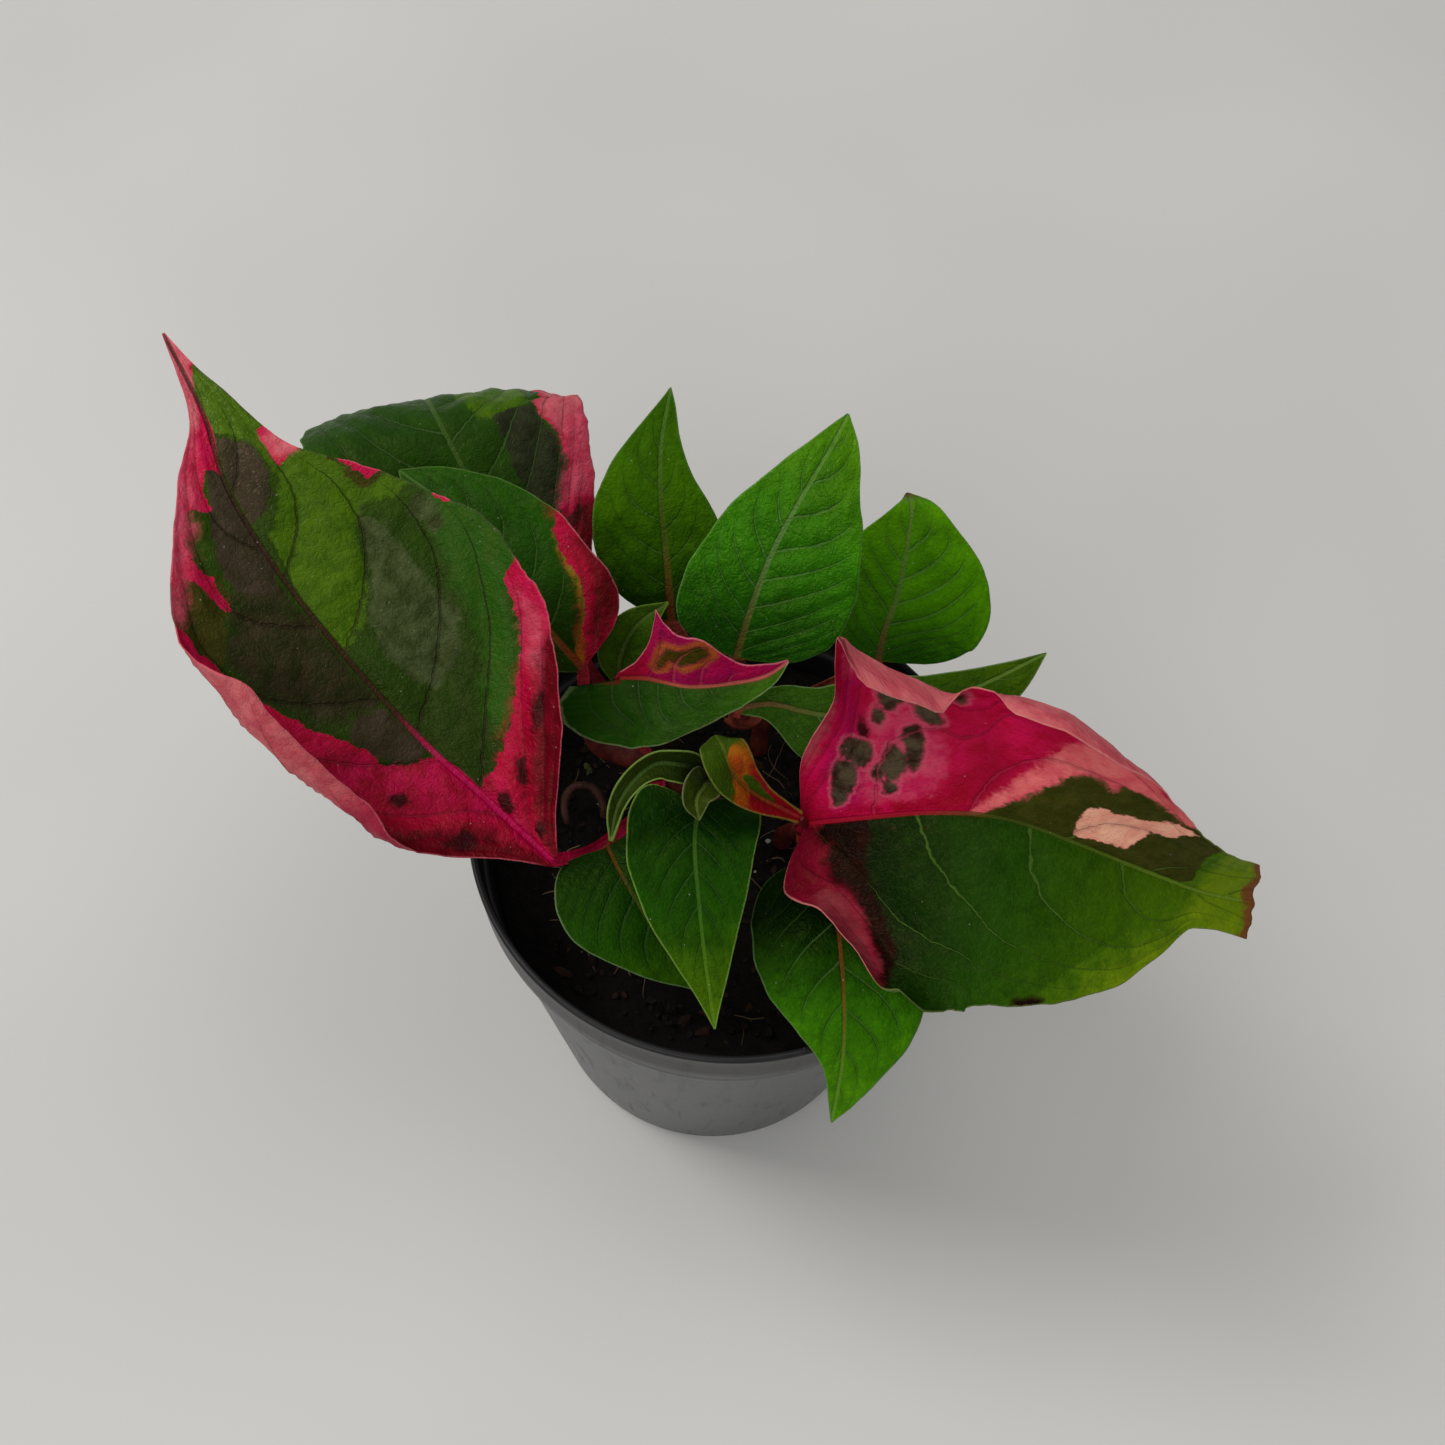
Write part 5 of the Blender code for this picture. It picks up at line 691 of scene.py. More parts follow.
        rib=((0.06, 0.09, 0.02), (0.04, 0.08, 0.015), (0.06, 0.10, 0.02)), rib_width=0.16, vein=((0.05, 0.09, 0.02), 0.3),
        left_veins=[0.05, 0.3, 0.55, 0.8], right_veins=[0.05, 0.28, 0.52, 0.78], quilt=0.06, fine=0.24, rumple=0.1,
        margin=(0.17, 0.26, 0.05), margin_strength=0.85, green_under=((0.0132, 0.0275, 0.0036), (0.0168, 0.0325, 0.0036), (0.0204, 0.0425, 0.0036))),
    "leaf_orange": look(
        green=((0.20, 0.004, 0.006), (0.24, 0.014, 0.004), (0.042, 0.072, 0.003)),
        rib=((0.26, 0.01, 0.02), (0.12, 0.05, 0.006), (0.06, 0.10, 0.01)), rib_width=0.12, vein=((0.16, 0.08, 0.02), 0.2),
        left_veins=[0.05, 0.3, 0.55, 0.8], right_veins=[0.05, 0.28, 0.52, 0.78], quilt=0.06, fine=0.24, rumple=0.1,
        margin=(0.16, 0.18, 0.03), red_margin=(0.60, 0.12, 0.16),
        patches=[
            ("red", [[(-0.3, -1.3), (-0.3, 1.3), (0.62, 1.3), (0.66, 0.7), (0.60, 0.5), (0.5, 0.3), (0.45, -0.5), (0.46, -1.3)]]),
            ("orange", [[(0.40, -0.9), (0.42, -0.1), (0.50, 0.45), (0.60, 0.7), (0.74, 0.85), (0.82, 0.5), (0.80, 0.0), (0.72, -0.5), (0.6, -1.3)]]),
            ("leafy", [[(0.20, 0.10), (0.26, 0.45), (0.42, 0.70), (0.55, 0.55), (0.56, 0.25), (0.40, 0.05), (0.28, 0.0)],
                       [(0.52, -0.5), (0.60, -0.1), (0.72, -0.05), (0.80, 0.3), (0.86, 1.3), (1.2, 1.3), (1.2, -1.3), (0.50, -1.3)]]),
        ]),
    "leaf_apex_left": look(
        green=((0.015, 0.0275, 0.002), (0.02, 0.035, 0.0025), (0.03, 0.045, 0.004)),
        rib=((0.06, 0.09, 0.02), (0.06, 0.09, 0.015), (0.08, 0.12, 0.02)), rib_width=0.14, vein=((0.06, 0.09, 0.02), 0.3),
        left_veins=[0.1, 0.5, 0.9], right_veins=[0.1, 0.5, 0.9], quilt=0.08, fine=0.16, rumple=0.14, margin=(0.16, 0.20, 0.08)),
    "leaf_apex_right": look(
        green=((0.05, 0.02, 0.003), (0.03, 0.03, 0.003), (0.03, 0.045, 0.004)),
        rib=((0.10, 0.06, 0.02), (0.06, 0.09, 0.015), (0.08, 0.12, 0.02)), rib_width=0.14, vein=((0.06, 0.09, 0.02), 0.3),
        left_veins=[0.1, 0.5, 0.9], right_veins=[0.1, 0.5, 0.9], quilt=0.08, fine=0.16, rumple=0.12, margin=(0.20, 0.18, 0.08)),
}


# ---------------------------------------------------------------- leaf meshes
def inside_distance(points, outline):
    """Distance to an outline in the same units, positive inside it."""
    a = np.array(outline, float)
    b = np.roll(a, -1, axis=0)
    best = np.full(len(points), 1e9)
    crossed = np.zeros(len(points), bool)
    for p, q in zip(a, b):
        d = q - p
        t = np.clip(((points - p) @ d) / max(d @ d, 1e-12), 0, 1)
        best = np.minimum(best, np.linalg.norm(points - p - t[:, None] * d, axis=1))
        over = (p[1] > points[:, 1]) != (q[1] > points[:, 1])
        at = (q[0] - p[0]) * (points[:, 1] - p[1]) / (q[1] - p[1] if q[1] != p[1] else 1e-12) + p[0]
        crossed ^= over & (points[:, 0] < at)
    return np.where(crossed, best, -best)


def followed(outline):
    """The outline with its long sides cut short, so that they follow the blade's curved edge."""
    points = []
    for (u0, s0), (u1, s1) in zip(outline, outline[1:] + outline[:1]):
        pieces = max(1, math.ceil(abs(u1 - u0) / 0.05), math.ceil(abs(s1 - s0) / 0.4))
        points += [(u0 + (u1 - u0) * k / pieces, s0 + (s1 - s0) * k / pieces) for k in range(pieces)]
    return np.array(points, float)


def flat_place(leaf, length, u, s):
    """Leaf coordinates laid flat, in millimetres."""
    u, s = np.asarray(u, float), np.asarray(s, float)
    inside = np.clip(u, 0, 1)
    w = np.where(s < 0, table(leaf["left"], inside)[:, 0], table(leaf["right"], inside)[:, 0])
    return np.stack([u * length, s * np.maximum(w, 1.2)], 1)


def relief(seed, points, scale, octaves=3):
    offset = Vector((seed * 7.31, seed * 3.17, seed * 1.73))
    return np.array([noise.fractal(Vector(p) * scale + offset, 1.0, 2.0, octaves) for p in points])


def vein_phase(positions, u, s, bow):
    """Runs up by one from each lateral vein to the next, so that a vein lies at every whole number."""
    x = u - bow[0] * np.abs(s) - bow[1] * np.abs(s) ** 3
    p = np.array(positions, float)
    first, last = p[1] - p[0], p[-1] - p[-2]
    p = np.concatenate([p[0] - first * np.arange(8, 0, -1), p, p[-1] + last * np.arange(1, 9)])
    return np.interp(x, p, np.arange(len(p), dtype=float))


def set_attribute(mesh, name, values):
    values = np.asarray(values, np.float32)
    if values.ndim == 1:
        mesh.attributes.new(name, "FLOAT", "POINT").data.foreach_set("value", values)
    else:
        mesh.attributes.new(name, "FLOAT_VECTOR", "POINT").data.foreach_set("vector", values.ravel())


def new_object(name, mesh):
    obj = bpy.data.objects.new(name, mesh)
    scene.collection.objects.link(obj)
    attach(obj, "root")
    return obj


def on_stem(point):
    """The nearest point on a stem's axis, where a petiole comes from."""
    point = np.array(point, float)
    near = []
    for name, stem in STEMS.items():
        if name != "root_loop":
            path = spline(stem["path"])
            d = np.linalg.norm(path - point, axis=1)
            near.append((float(d.min()), tuple(path[d.argmin()])))
    return min(near)[1]


def build_leaf(index, name, leaf, look):
    path = spline(leaf["rib"])
    length = float(np.linalg.norm(np.diff(path, axis=0), axis=1).sum())
    fine = look.get("fine", 0.5)
    steps = max(24, int(length / fine))
    even = np.linspace(0, 1, steps + 1)
    us = 0.35 * (0.5 - 0.5 * np.cos(even * math.pi)) + 0.65 * even
    wl = table(leaf["left"], even)[:, 0].max()
    wr = table(leaf["right"], even)[:, 0].max()
    nl, nr = max(8, int(wl / fine)), max(8, int(wr / fine))
    tl, tr = np.linspace(0, 1, nl + 1), np.linspace(0, 1, nr + 1)
    ss = np.concatenate([-(tl[::-1] ** 0.94), tr[1:] ** 0.94])
    n, middle = len(ss), nl

    # the margin waves a little, in the blade's plane
    wave = look.get("wave", 0.02)
    waves = [1 + wave * relief(index * 2 + side, [(u * length * 0.33, side, 0) for u in us], 1.0)
             * np.clip((1 - us) * 12, 0, 1) * np.clip(us * 12, 0, 1) for side in (0, 1)]
    leaf = dict(leaf)
    P, N, W = blade_surface(leaf, us, ss, fine=40)
    centre = P[:, middle:middle + 1]
    reach = np.abs(ss)[None, :, None] ** 4
    shift = np.where(ss[None, :] < 0, waves[0][:, None], waves[1][:, None])[..., None] - 1
    P = P + (P - centre) * reach * shift

    if "bite" in look:   # the dry end is broken off unevenly
        back = unit(P[-1] - P[-5])
        uneven = relief(index + 70, [(s * W[-1].max(), 0, 0) for s in ss], 0.42, 2)
        uneven = np.clip(0.40 + 1.1 * uneven, 0, 1)
        near_end = np.clip((us - 0.90) / 0.10, 0, 1) ** 1.5
        P = P - back[None] * (look["bite"] * near_end[:, None] * uneven[None])[..., None]

    U = np.repeat(us[:, None], n, 1)
    Sg = np.repeat(ss[None, :], len(us), 0)
    rib = Sg * W
    edge = (1 - np.abs(Sg)) * W
    bow = look.get("bow", (0.17, 0.3))
    phase_l = vein_phase(look["left_veins"], U, Sg, bow).reshape(U.shape)
    phase_r = vein_phase(look["right_veins"], U, Sg, bow).reshape(U.shape)
    phase = np.where(Sg < 0, phase_l, phase_r)
    gap = length * np.mean(np.diff(look["right_veins"]))
    off_vein = np.abs((phase + 0.5) % 1 - 0.5) * gap
    quilt = look.get("quilt", 0.25)
    swell = (0.5 - 0.5 * np.cos(2 * math.pi * phase)) ** 0.7
    room = np.clip(np.abs(rib) / 1.6, 0, 1) * np.clip(edge / 5.0, 0, 1) ** 0.8
    height = quilt * (swell - 0.45) * room
    height -= 0.35 * quilt * np.exp(-((off_vein / 0.4) ** 2)) * room
    height -= look.get("groove", 0.22) * np.exp(-((rib / 0.55) ** 2)) * np.clip(1.1 - U, 0, 1)
    flat = np.stack([U.ravel() * length, rib.ravel(), np.full(U.size, float(index))], 1)
    rumple = look.get("rumple", 0.22)
    height += rumple * relief(index, flat, 0.22, 2).reshape(U.shape) * np.clip(np.abs(rib) / 2.5, 0, 1)
    height += 0.35 * rumple * relief(index + 40, flat, 0.75, 3).reshape(U.shape)
    height *= np.clip(U * 14, 0, 1)
    thick = 0.30 * (1 - 0.55 * np.abs(Sg) ** 6)
    thick = thick + 0.55 * np.exp(-((rib / 0.6) ** 2)) * np.clip(1.15 - U, 0.12, 1)
    thick = thick + 0.10 * np.exp(-((off_vein / 0.35) ** 2)) * np.clip(1 - np.abs(Sg), 0, 1)
    upper = P + N * height[..., None]
    lower = upper - N * thick[..., None]

    # the petiole, in the same loft
    if "petiole" in leaf:
        stalk = spline([on_stem(leaf["petiole"][0])] + list(leaf["petiole"]) + [leaf["rib"][0]])
        stalk_length = float(np.linalg.norm(np.diff(stalk, axis=0), axis=1).sum())
        count = max(4, int(stalk_length / 0.8))
        Q, T = along(stalk, np.linspace(0, 1, count + 1)[:-1])
        f = np.array(leaf["face"][0][1], float)
        M = unit(f - (T @ f)[:, None] * T)
        side = np.cross(T, M)
        x = ss * PETIOLE
        top = 0.25 * PETIOLE * ss**2
        bottom = -1.75 * PETIOLE * np.sqrt(np.clip(1 - 0.93 * ss**2, 0, 1))
        far = np.linspace(-stalk_length, 0, count + 1)[:-1]
        # a little thicker where it leaves the stem
        stout = (1 + 0.28 * np.exp(-(((far + stalk_length - 1.4) / 1.6) ** 2)))[:, None, None]
        upper = np.concatenate([Q[:, None] + stout * (side[:, None] * x[None, :, None] + M[:, None] * top[None, :, None]), upper])
        lower = np.concatenate([Q[:, None] + stout * (side[:, None] * x[None, :, None] + M[:, None] * bottom[None, :, None]), lower])

        def extend(a, rows):
            return np.concatenate([rows, a])

        U = extend(U, np.repeat((far / length)[:, None], n, 1))
        rib = extend(rib, np.repeat(x[None, :], count, 0))
        edge = extend(edge, np.repeat(((1 - np.abs(ss)) * PETIOLE)[None, :], count, 0))
        Sg = extend(Sg, np.repeat(ss[None, :], count, 0))
        phase_l = extend(phase_l, np.repeat(phase_l[:1], count, 0))
        phase_r = extend(phase_r, np.repeat(phase_r[:1], count, 0))

    rings = np.concatenate([upper, lower[:, ::-1]], 1)
    m, count = 2 * n, len(rings)
    i = np.arange(count - 1)[:, None]
    j = np.arange(m)[None, :]
    k = (j + 1) % m
    faces = np.stack(np.broadcast_arrays(i * m + j, i * m + k, (i + 1) * m + k, (i + 1) * m + j), -1).reshape(-1, 4)
    under = np.repeat(((j >= n) & (j < m - 1)), count - 1, 0).ravel()
    end = (count - 1) * m
    caps = []
    for c in range(n - 1):
        caps.append((c + 1, c, m - 1 - c, m - 2 - c))
        caps.append((end + c, end + c + 1, end + m - 2 - c, end + m - 1 - c))
    faces = np.concatenate([faces, np.array(caps)])
    under = np.concatenate([under, np.zeros(len(caps), bool)])
    mesh = bpy.data.meshes.new(name)
    mesh.from_pydata((rings.reshape(-1, 3) * MM).tolist(), [], faces.tolist())
    bm = bmesh.new()
    bm.from_mesh(mesh)
    bmesh.ops.recalc_face_normals(bm, faces=bm.faces)
    bm.to_mesh(mesh)
    bm.free()
    mesh.polygons.foreach_set("material_index", under.astype(np.int32))
    mesh.shade_smooth()

    def both(a):
        return np.concatenate([a, a[:, ::-1]], 1).reshape(-1)

    u_all, s_all = both(U), both(Sg)
    place = np.stack([u_all * length, both(rib), both(np.zeros_like(U)) + index * 31.0], 1)
    set_attribute(mesh, "place", place)
    set_attribute(mesh, "blade", np.stack([u_all, both(edge), s_all], 1))
    set_attribute(mesh, "veins", np.stack([both(phase_l), both(phase_r), np.full(len(u_all), gap)], 1))
    at = flat_place(leaf, length, u_all, s_all)
    for kind, outlines in look.get("patches", []):
        field = np.full(len(u_all), -20.0)
        for outline in outlines:
            o = followed(outline)
            field = np.maximum(field, inside_distance(at, flat_place(leaf, length, o[:, 0], o[:, 1])))
        set_attribute(mesh, kind, np.clip(field, -20, 20))
    uv = mesh.uv_layers.new(name="blade_map")
    loops = np.empty(len(mesh.loops), np.int32)
    mesh.loops.foreach_get("vertex_index", loops)
    is_low = np.concatenate([np.zeros_like(U), np.ones_like(U)], 1).reshape(-1)
    uv_points = np.stack([(u_all * 0.9 + 0.1), 0.5 * is_low + 0.25 + 0.23 * s_all * np.where(s_all < 0, wl, wr) / max(wl, wr)], 1)
    uv.data.foreach_set("uv", uv_points[loops].astype(np.float32).ravel())
    obj = new_object(name, mesh)
    obj.data.materials.append(leaf_material(name, look, length, False))
    obj.data.materials.append(leaf_material(name, look, length, True))
    return obj


def leaf_material(name, look, length, under):
    g = Graph(name + ("_underside" if under else ""))
    place = g.attribute("place", "Vector")
    u, edge, s = g.split(g.attribute("blade", "Vector"))
    x, rib, _ = g.split(place)
    left, right, gap = g.split(g.attribute("veins", "Vector"))
    off_rib = g.math("ABSOLUTE", rib)
    warp = g.noise(place, 0.55, 3, 0.6)
    fine = g.noise(place, 2.2, 2, 0.6)
    mottle = g.noise(place, 0.28, 4, 0.6, 0.4)
    grain = g.noise(place, 7.0, 1, 0.6)
    net = g.cells(g.mix(0.22, place, g.scale(g.noise(place, 0.9, 1, 0.6, 0.0, "Color"), 8.0)), 1.15, "DISTANCE_TO_EDGE")
    net_fine = g.cells(place, 2.1, "DISTANCE_TO_EDGE")
    cell = g.split(g.cells(place, 0.75, "F1", "Color"))[0]

    # blade colour from base to tip, mottled; the dark base is partly painted shade
    base, mid, tip = look["green"] if not under else look.get("green_under", look["under_green"])
    along_leaf = g.add(u, g.times(g.add(warp, -0.5), 0.18))
    colour = g.mix(g.step(along_leaf, *look.get("turn", (0.0, 0.5))), base, mid)
    colour = g.mix(g.step(along_leaf, 0.45, 1.0), colour, tip)
    dark = g.step(mottle, 0.38, 0.68)
    colour = g.mix(g.times(dark, 0.5), colour, g.mix(1.0, colour, (0.38, 0.52, 0.45), "MULTIPLY"))
    light = g.step(fine, 0.5, 0.75)
    colour = g.mix(g.times(light, 0.35), colour, g.mix(1.0, colour, (1.8, 1.45, 1.2), "MULTIPLY"))
    glow = g.times(g.step(edge, 7.0, 0.3), g.step(warp, 0.3, 0.6))
    colour = g.mix(g.times(glow, 0.5), colour, g.mix(1.0, colour, (1.7, 1.45, 1.0), "MULTIPLY"))
    rim_line = g.step(g.add(edge, g.times(fine, -0.25)), 0.02, 0.75)
    red_part = quiet = None
    # the midrib is a clean border between colours
    calm = g.step(off_rib, 0.1, 2.2, 0.10, 1.0)
    crisp = g.step(off_rib, 0.1, 2.0, 4.0, 1.0)
    cloudy = g.step(g.noise(place, 0.45, 3, 0.62), 0.36, 0.66)
    dusty = g.times(g.step(grain, 0.45, 0.8), 0.18)
    roaming = g.times(g.add(g.times(g.add(warp, -0.5), 3.2), g.times(g.add(fine, -0.5), 1.4), g.times(g.add(cell, -0.5), 0.9)), calm)
    for kind, outlines in look.get("patches", []):
        paint = look["paints"][kind]
        first, second, ragged, soft = paint[:4]
        if under:
            first, second = look["under_paints"].get(kind, (first, second))
        field = g.attribute(kind)
        field = g.times(g.add(field, g.times(roaming, ragged), look.get("grow", {}).get(kind, 0.0)), crisp)
        mask = g.step(field, -soft, soft)
        tone = g.mix(cloudy, first, second)
        tone = g.mix(dusty, tone, g.mix(1.0, tone, (1.35, 1.5, 1.5), "MULTIPLY"))
        if len(paint) > 4:   # a thin line of another colour just outside the patch
            rim, width = paint[4], paint[5]
            halo = g.times(g.step(field, -width - soft, -width * 0.5), g.math("SUBTRACT", 1.0, mask))
            colour = g.mix(g.times(halo, look.get("halo", 0.85)), colour, rim)
        colour = g.mix(mask, colour, tone)
        if kind in ("pink", "flap"):
            red_part = mask if red_part is None else g.math("MAXIMUM", red_part, mask)
        elif kind == "maroon":
            quiet = mask

    # lateral veins, each side with its own
    phase = g.blendf(g.step(rib, -0.02, 0.02), left, right)
    wobble = g.times(g.add(g.noise(place, 0.8, 2), -0.5), 0.10)
    off = g.math("SUBTRACT", g.math("FRACT", g.add(phase, wobble, 0.5)), 0.5)
    off_vein = g.times(g.math("ABSOLUTE", off), gap)
    fade = g.times(g.step(off_rib, 0.1, 0.5), g.step(edge, 0.4, 4.0, 0.06, 1.0), g.step(mottle, 0.25, 0.5, 0.55, 1.0))
    vein_width = g.line(edge, 0, 8, 0.03, 0.11)
    vein = g.times(g.math("SUBTRACT", 1.0, g.step(off_vein, vein_width, g.add(vein_width, 0.15))), fade)
    shade = g.times(g.math("SUBTRACT", 1.0, g.step(off_vein, 0.15, 1.1)), fade)
    web = g.times(g.math("SUBTRACT", 1.0, g.step(net, 0.015, 0.07)), g.step(edge, 0.2, 1.2))
    vein_colour, vein_strength = look["vein"]
    red_vein = look.get("red_vein", vein_colour)
    shown = vein_colour
    if under:
        shown = look.get("under_vein", (0.10, 0.16, 0.05))
        vein_strength = max(vein_strength, 0.6)
    if red_part is not None:
        shown = g.mix(red_part, shown, red_vein)
    strength = vein_strength
    if red_part is not None:
        strength = g.blendf(red_part, vein_strength, look.get("red_vein_strength", 0.35))
    if quiet is not None:
        strength = g.times(strength, g.math("SUBTRACT", 1.0, g.times(quiet, 0.9)))
    colour = g.mix(g.times(shade, 0.38), colour, g.mix(1.0, colour, (0.50, 0.58, 0.55), "MULTIPLY"))
    colour = g.mix(g.times(vein, strength), colour, shown)
    colour = g.mix(g.times(web, strength, 0.5 if under else 0.13), colour, shown)

    # midrib
    ribs = look["rib"] if not under else look.get("under_rib", look["rib"])
    rib_colour = g.mix(g.step(u, *look.get("rib_turn", (0.0, 0.45))), ribs[0], ribs[1])
    rib_colour = g.mix(g.step(u, 0.4, 0.95), rib_colour, ribs[2])
    width = g.line(u, 0, 1, look.get("rib_width", 0.36), 0.10)
    ribbed = g.math("SUBTRACT", 1.0, g.step(off_rib, width, g.add(width, 0.18)))
    colour = g.mix(g.times(ribbed, look.get("rib_strength", 0.85)), colour, rib_colour)

    # petiole and the foot of the blade
    stalk = look.get("petiole_colour", (0.16, 0.02, 0.02))
    stalk_tone = g.mix(g.step(g.noise(place, 0.9, 3), 0.35, 0.7), stalk, warm(stalk, 1.8))
    colour = g.mix(g.step(u, look.get("foot", 0.015), -0.01), colour, stalk_tone)

    # margin
    line = g.math("SUBTRACT", 1.0, g.step(g.add(edge, g.times(g.add(fine, -0.5), 0.2)), 0.06, 0.24))
    line = g.times(line, g.step(u, 0.0, 0.03))
    margin = look["margin"]
    if red_part is not None:
        margin = g.mix(red_part, margin, look.get("red_margin", (0.55, 0.16, 0.18)))
    colour = g.mix(g.times(line, look.get("margin_strength", 0.6)), colour, margin)
    if "burnt" in look:   # dry brown tissue at the tip
        burnt = g.step(g.add(u, g.times(g.add(warp, -0.5), 0.06)), *look["burnt"])
        colour = g.mix(burnt, colour, look.get("burnt_colour", (0.09, 0.035, 0.012)))

    # short pale hairs and specks of grit
    speck, chance = g.cells_both(place, 0.9)
    lucky = g.split(chance)[1]
    specks = g.times(g.math("SUBTRACT", 1.0, g.step(speck, 0.05, 0.09)), g.step(lucky, 0.80, 0.82))
    colour = g.mix(g.times(specks, 0.55), colour, (0.35, 0.36, 0.30))

    crinkle = look.get("crinkle", 1.0)
    net_wide = g.cells(g.mix(0.3, place, g.scale(g.noise(place, 0.5, 1, 0.6, 0.0, "Color"), 10.0)), 0.46, "DISTANCE_TO_EDGE")
    height = g.add(g.times(g.step(net, 0.0, 0.25), 0.40 * crinkle), g.times(g.step(net_wide, 0.0, 0.4), 0.55 * crinkle),
                   g.times(g.step(net_fine, 0.0, 0.25), 0.14), g.times(grain, 0.10), g.times(fine, 0.35 * crinkle))
    vein_lift = -1.1 if not under else 1.3
    height = g.add(height, g.times(vein, vein_lift), g.times(ribbed, vein_lift * 0.8))
    normal = g.bump(height, look.get("bump", 0.11), 1.0)
    rough = g.add(look.get("rough", 0.40), g.times(g.add(warp, -0.5), 0.16), g.times(g.add(grain, -0.5), 0.12))
    if under:
        rough = g.add(rough, 0.14)
    tint = (1.0, 0.72, 0.45, 1.0) if red_part is not None else (0.75, 1.0, 0.18, 1.0)
    return g.finish(colour, rough, normal, Specular_IOR_Level=look.get("shine", 0.11) if not under else 0.08,
                    Specular_Tint=tint, IOR=1.45)


# ---------------------------------------------------------------- leaves
for index, (name, leaf) in enumerate(LEAVES.items()):
    blade = build_leaf(index, name.replace("leaf_", "blade_"), leaf, LOOKS[name])
    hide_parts(name)


# ---------------------------------------------------------------- stems and root
def object_space(g):
    """The piece's own coordinates in millimetres."""
    return g.scale(g.node("ShaderNodeTexCoord").outputs["Object"], 1000.0)


def stem_material(name, low, high, pale):
    g = Graph(name)
    p = object_space(g)
    streak = g.noise(g.scale(p, (1, 1, 0.25)), 1.6, 4, 0.6, 0.3)
    blotch = g.noise(p, 0.45, 3, 0.6)
    grain = g.noise(p, 6.0, 3, 0.65)
    colour = g.mix(g.step(blotch, 0.38, 0.64), low, high)
    colour = g.mix(g.times(g.step(streak, 0.52, 0.74), 0.55), colour, pale)
    colour = g.mix(g.times(g.step(grain, 0.58, 0.8), 0.25), colour, warm(pale, 1.6))
    normal = g.bump(g.add(g.times(streak, 0.9), g.times(grain, 0.6)), 0.16)
    rough = g.add(0.40, g.times(grain, 0.22))
    return g.finish(colour, rough, normal, Specular_IOR_Level=0.35, IOR=1.45)


def fine_tube(name, path_mm, radius, swell, seed, material, closed_steps=28, spacing=0.35, rounded=False):
    """A round stalk through its points, thicker at its nodes, with a slightly uneven skin."""
    path = spline(path_mm)
    length = np.linalg.norm(np.diff(path, axis=0), axis=1).sum()
    count = max(12, int(length / spacing))
    shares = np.linspace(0, 1, count)
    if rounded:
        shares = np.unique(np.concatenate([shares, 1 - np.array([0.95, 0.75, 0.55, 0.38, 0.24, 0.13, 0.05]) / length]))
        count = len(shares)
    P, T = along(path, shares)
    up = np.array([0.2, 1.0, 0.1]) if abs(T[0][1]) < 0.8 else np.array([1.0, 0.1, 0.1])
    rings = []
    A = unit(np.cross(T, up))
    B = np.cross(T, A)
    angles = np.arange(closed_steps) * 2 * math.pi / closed_steps
    for i in range(count):
        r = radius * (1 + sum(h * math.exp(-(((shares[i] - at) * length / w) ** 2)) for at, h, w in swell))
        if rounded:   # the top is a rounded node
            over = max(0.0, 1 - (1 - shares[i]) * length)
            r *= math.sqrt(max(0.03, 1 - (0.97 * over) ** 2.6))
        ring = []
        for a in angles:
            k = noise.noise(Vector((shares[i] * length * 0.5, math.cos(a) * 1.1 + seed, math.sin(a) * 1.1)))
            ring.append(P[i] + (A[i] * math.cos(a) + B[i] * math.sin(a)) * r * (1 + 0.09 * k))
        rings.append(ring)
    bm = bmesh.new()
    grid = [[bm.verts.new(Vector(p) * MM) for p in ring] for ring in rings]
    for i in range(count - 1):
        for j in range(closed_steps):
            k = (j + 1) % closed_steps
            bm.faces.new((grid[i][j], grid[i][k], grid[i + 1][k], grid[i + 1][j]))
    bm.faces.new(grid[0])
    bm.faces.new(grid[-1])
    bmesh.ops.recalc_face_normals(bm, faces=bm.faces)
    mesh = bpy.data.meshes.new(name)
    bm.to_mesh(mesh)
    bm.free()
    mesh.shade_smooth()
    mesh.set_sharp_from_angle(angle=math.radians(60))
    obj = new_object(name, mesh)
    obj.data.materials.append(material)
    return obj


STEM = stem_material("stem_skin", (0.075, 0.006, 0.006), (0.14, 0.016, 0.010), (0.16, 0.055, 0.022))
ROOT = stem_material("root_skin", (0.045, 0.014, 0.009), (0.085, 0.030, 0.018), (0.16, 0.075, 0.045))
SWELLS = {
    "stem_left": [(0.0, 0.10, 1.5), (0.62, 0.16, 1.1), (1.0, 0.12, 1.0)],
    "stem_centre": [(0.0, 0.12, 1.5), (0.55, 0.18, 1.2), (0.97, 0.14, 0.9)],
    "stem_back": [(0.0, 0.10, 1.5), (0.8, 0.16, 1.0)],
    "stem_right": [(0.0, 0.10, 1.5), (0.85, 0.16, 1.0)],
    "root_loop": [(0.3, 0.15, 0.8), (0.7, 0.10, 0.7)],
}
for seed, (name, stem) in enumerate(STEMS.items()):
    root = name == "root_loop"
    piece = fine_tube(name.replace("stem_", "stalk_").replace("root_", "rootlet_"), stem["path"], stem["radius"] * 0.97,
                      SWELLS[name], seed * 5.3, ROOT if root else STEM,
                      spacing=0.22 if root else 0.35, rounded=not root)
    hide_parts(name)

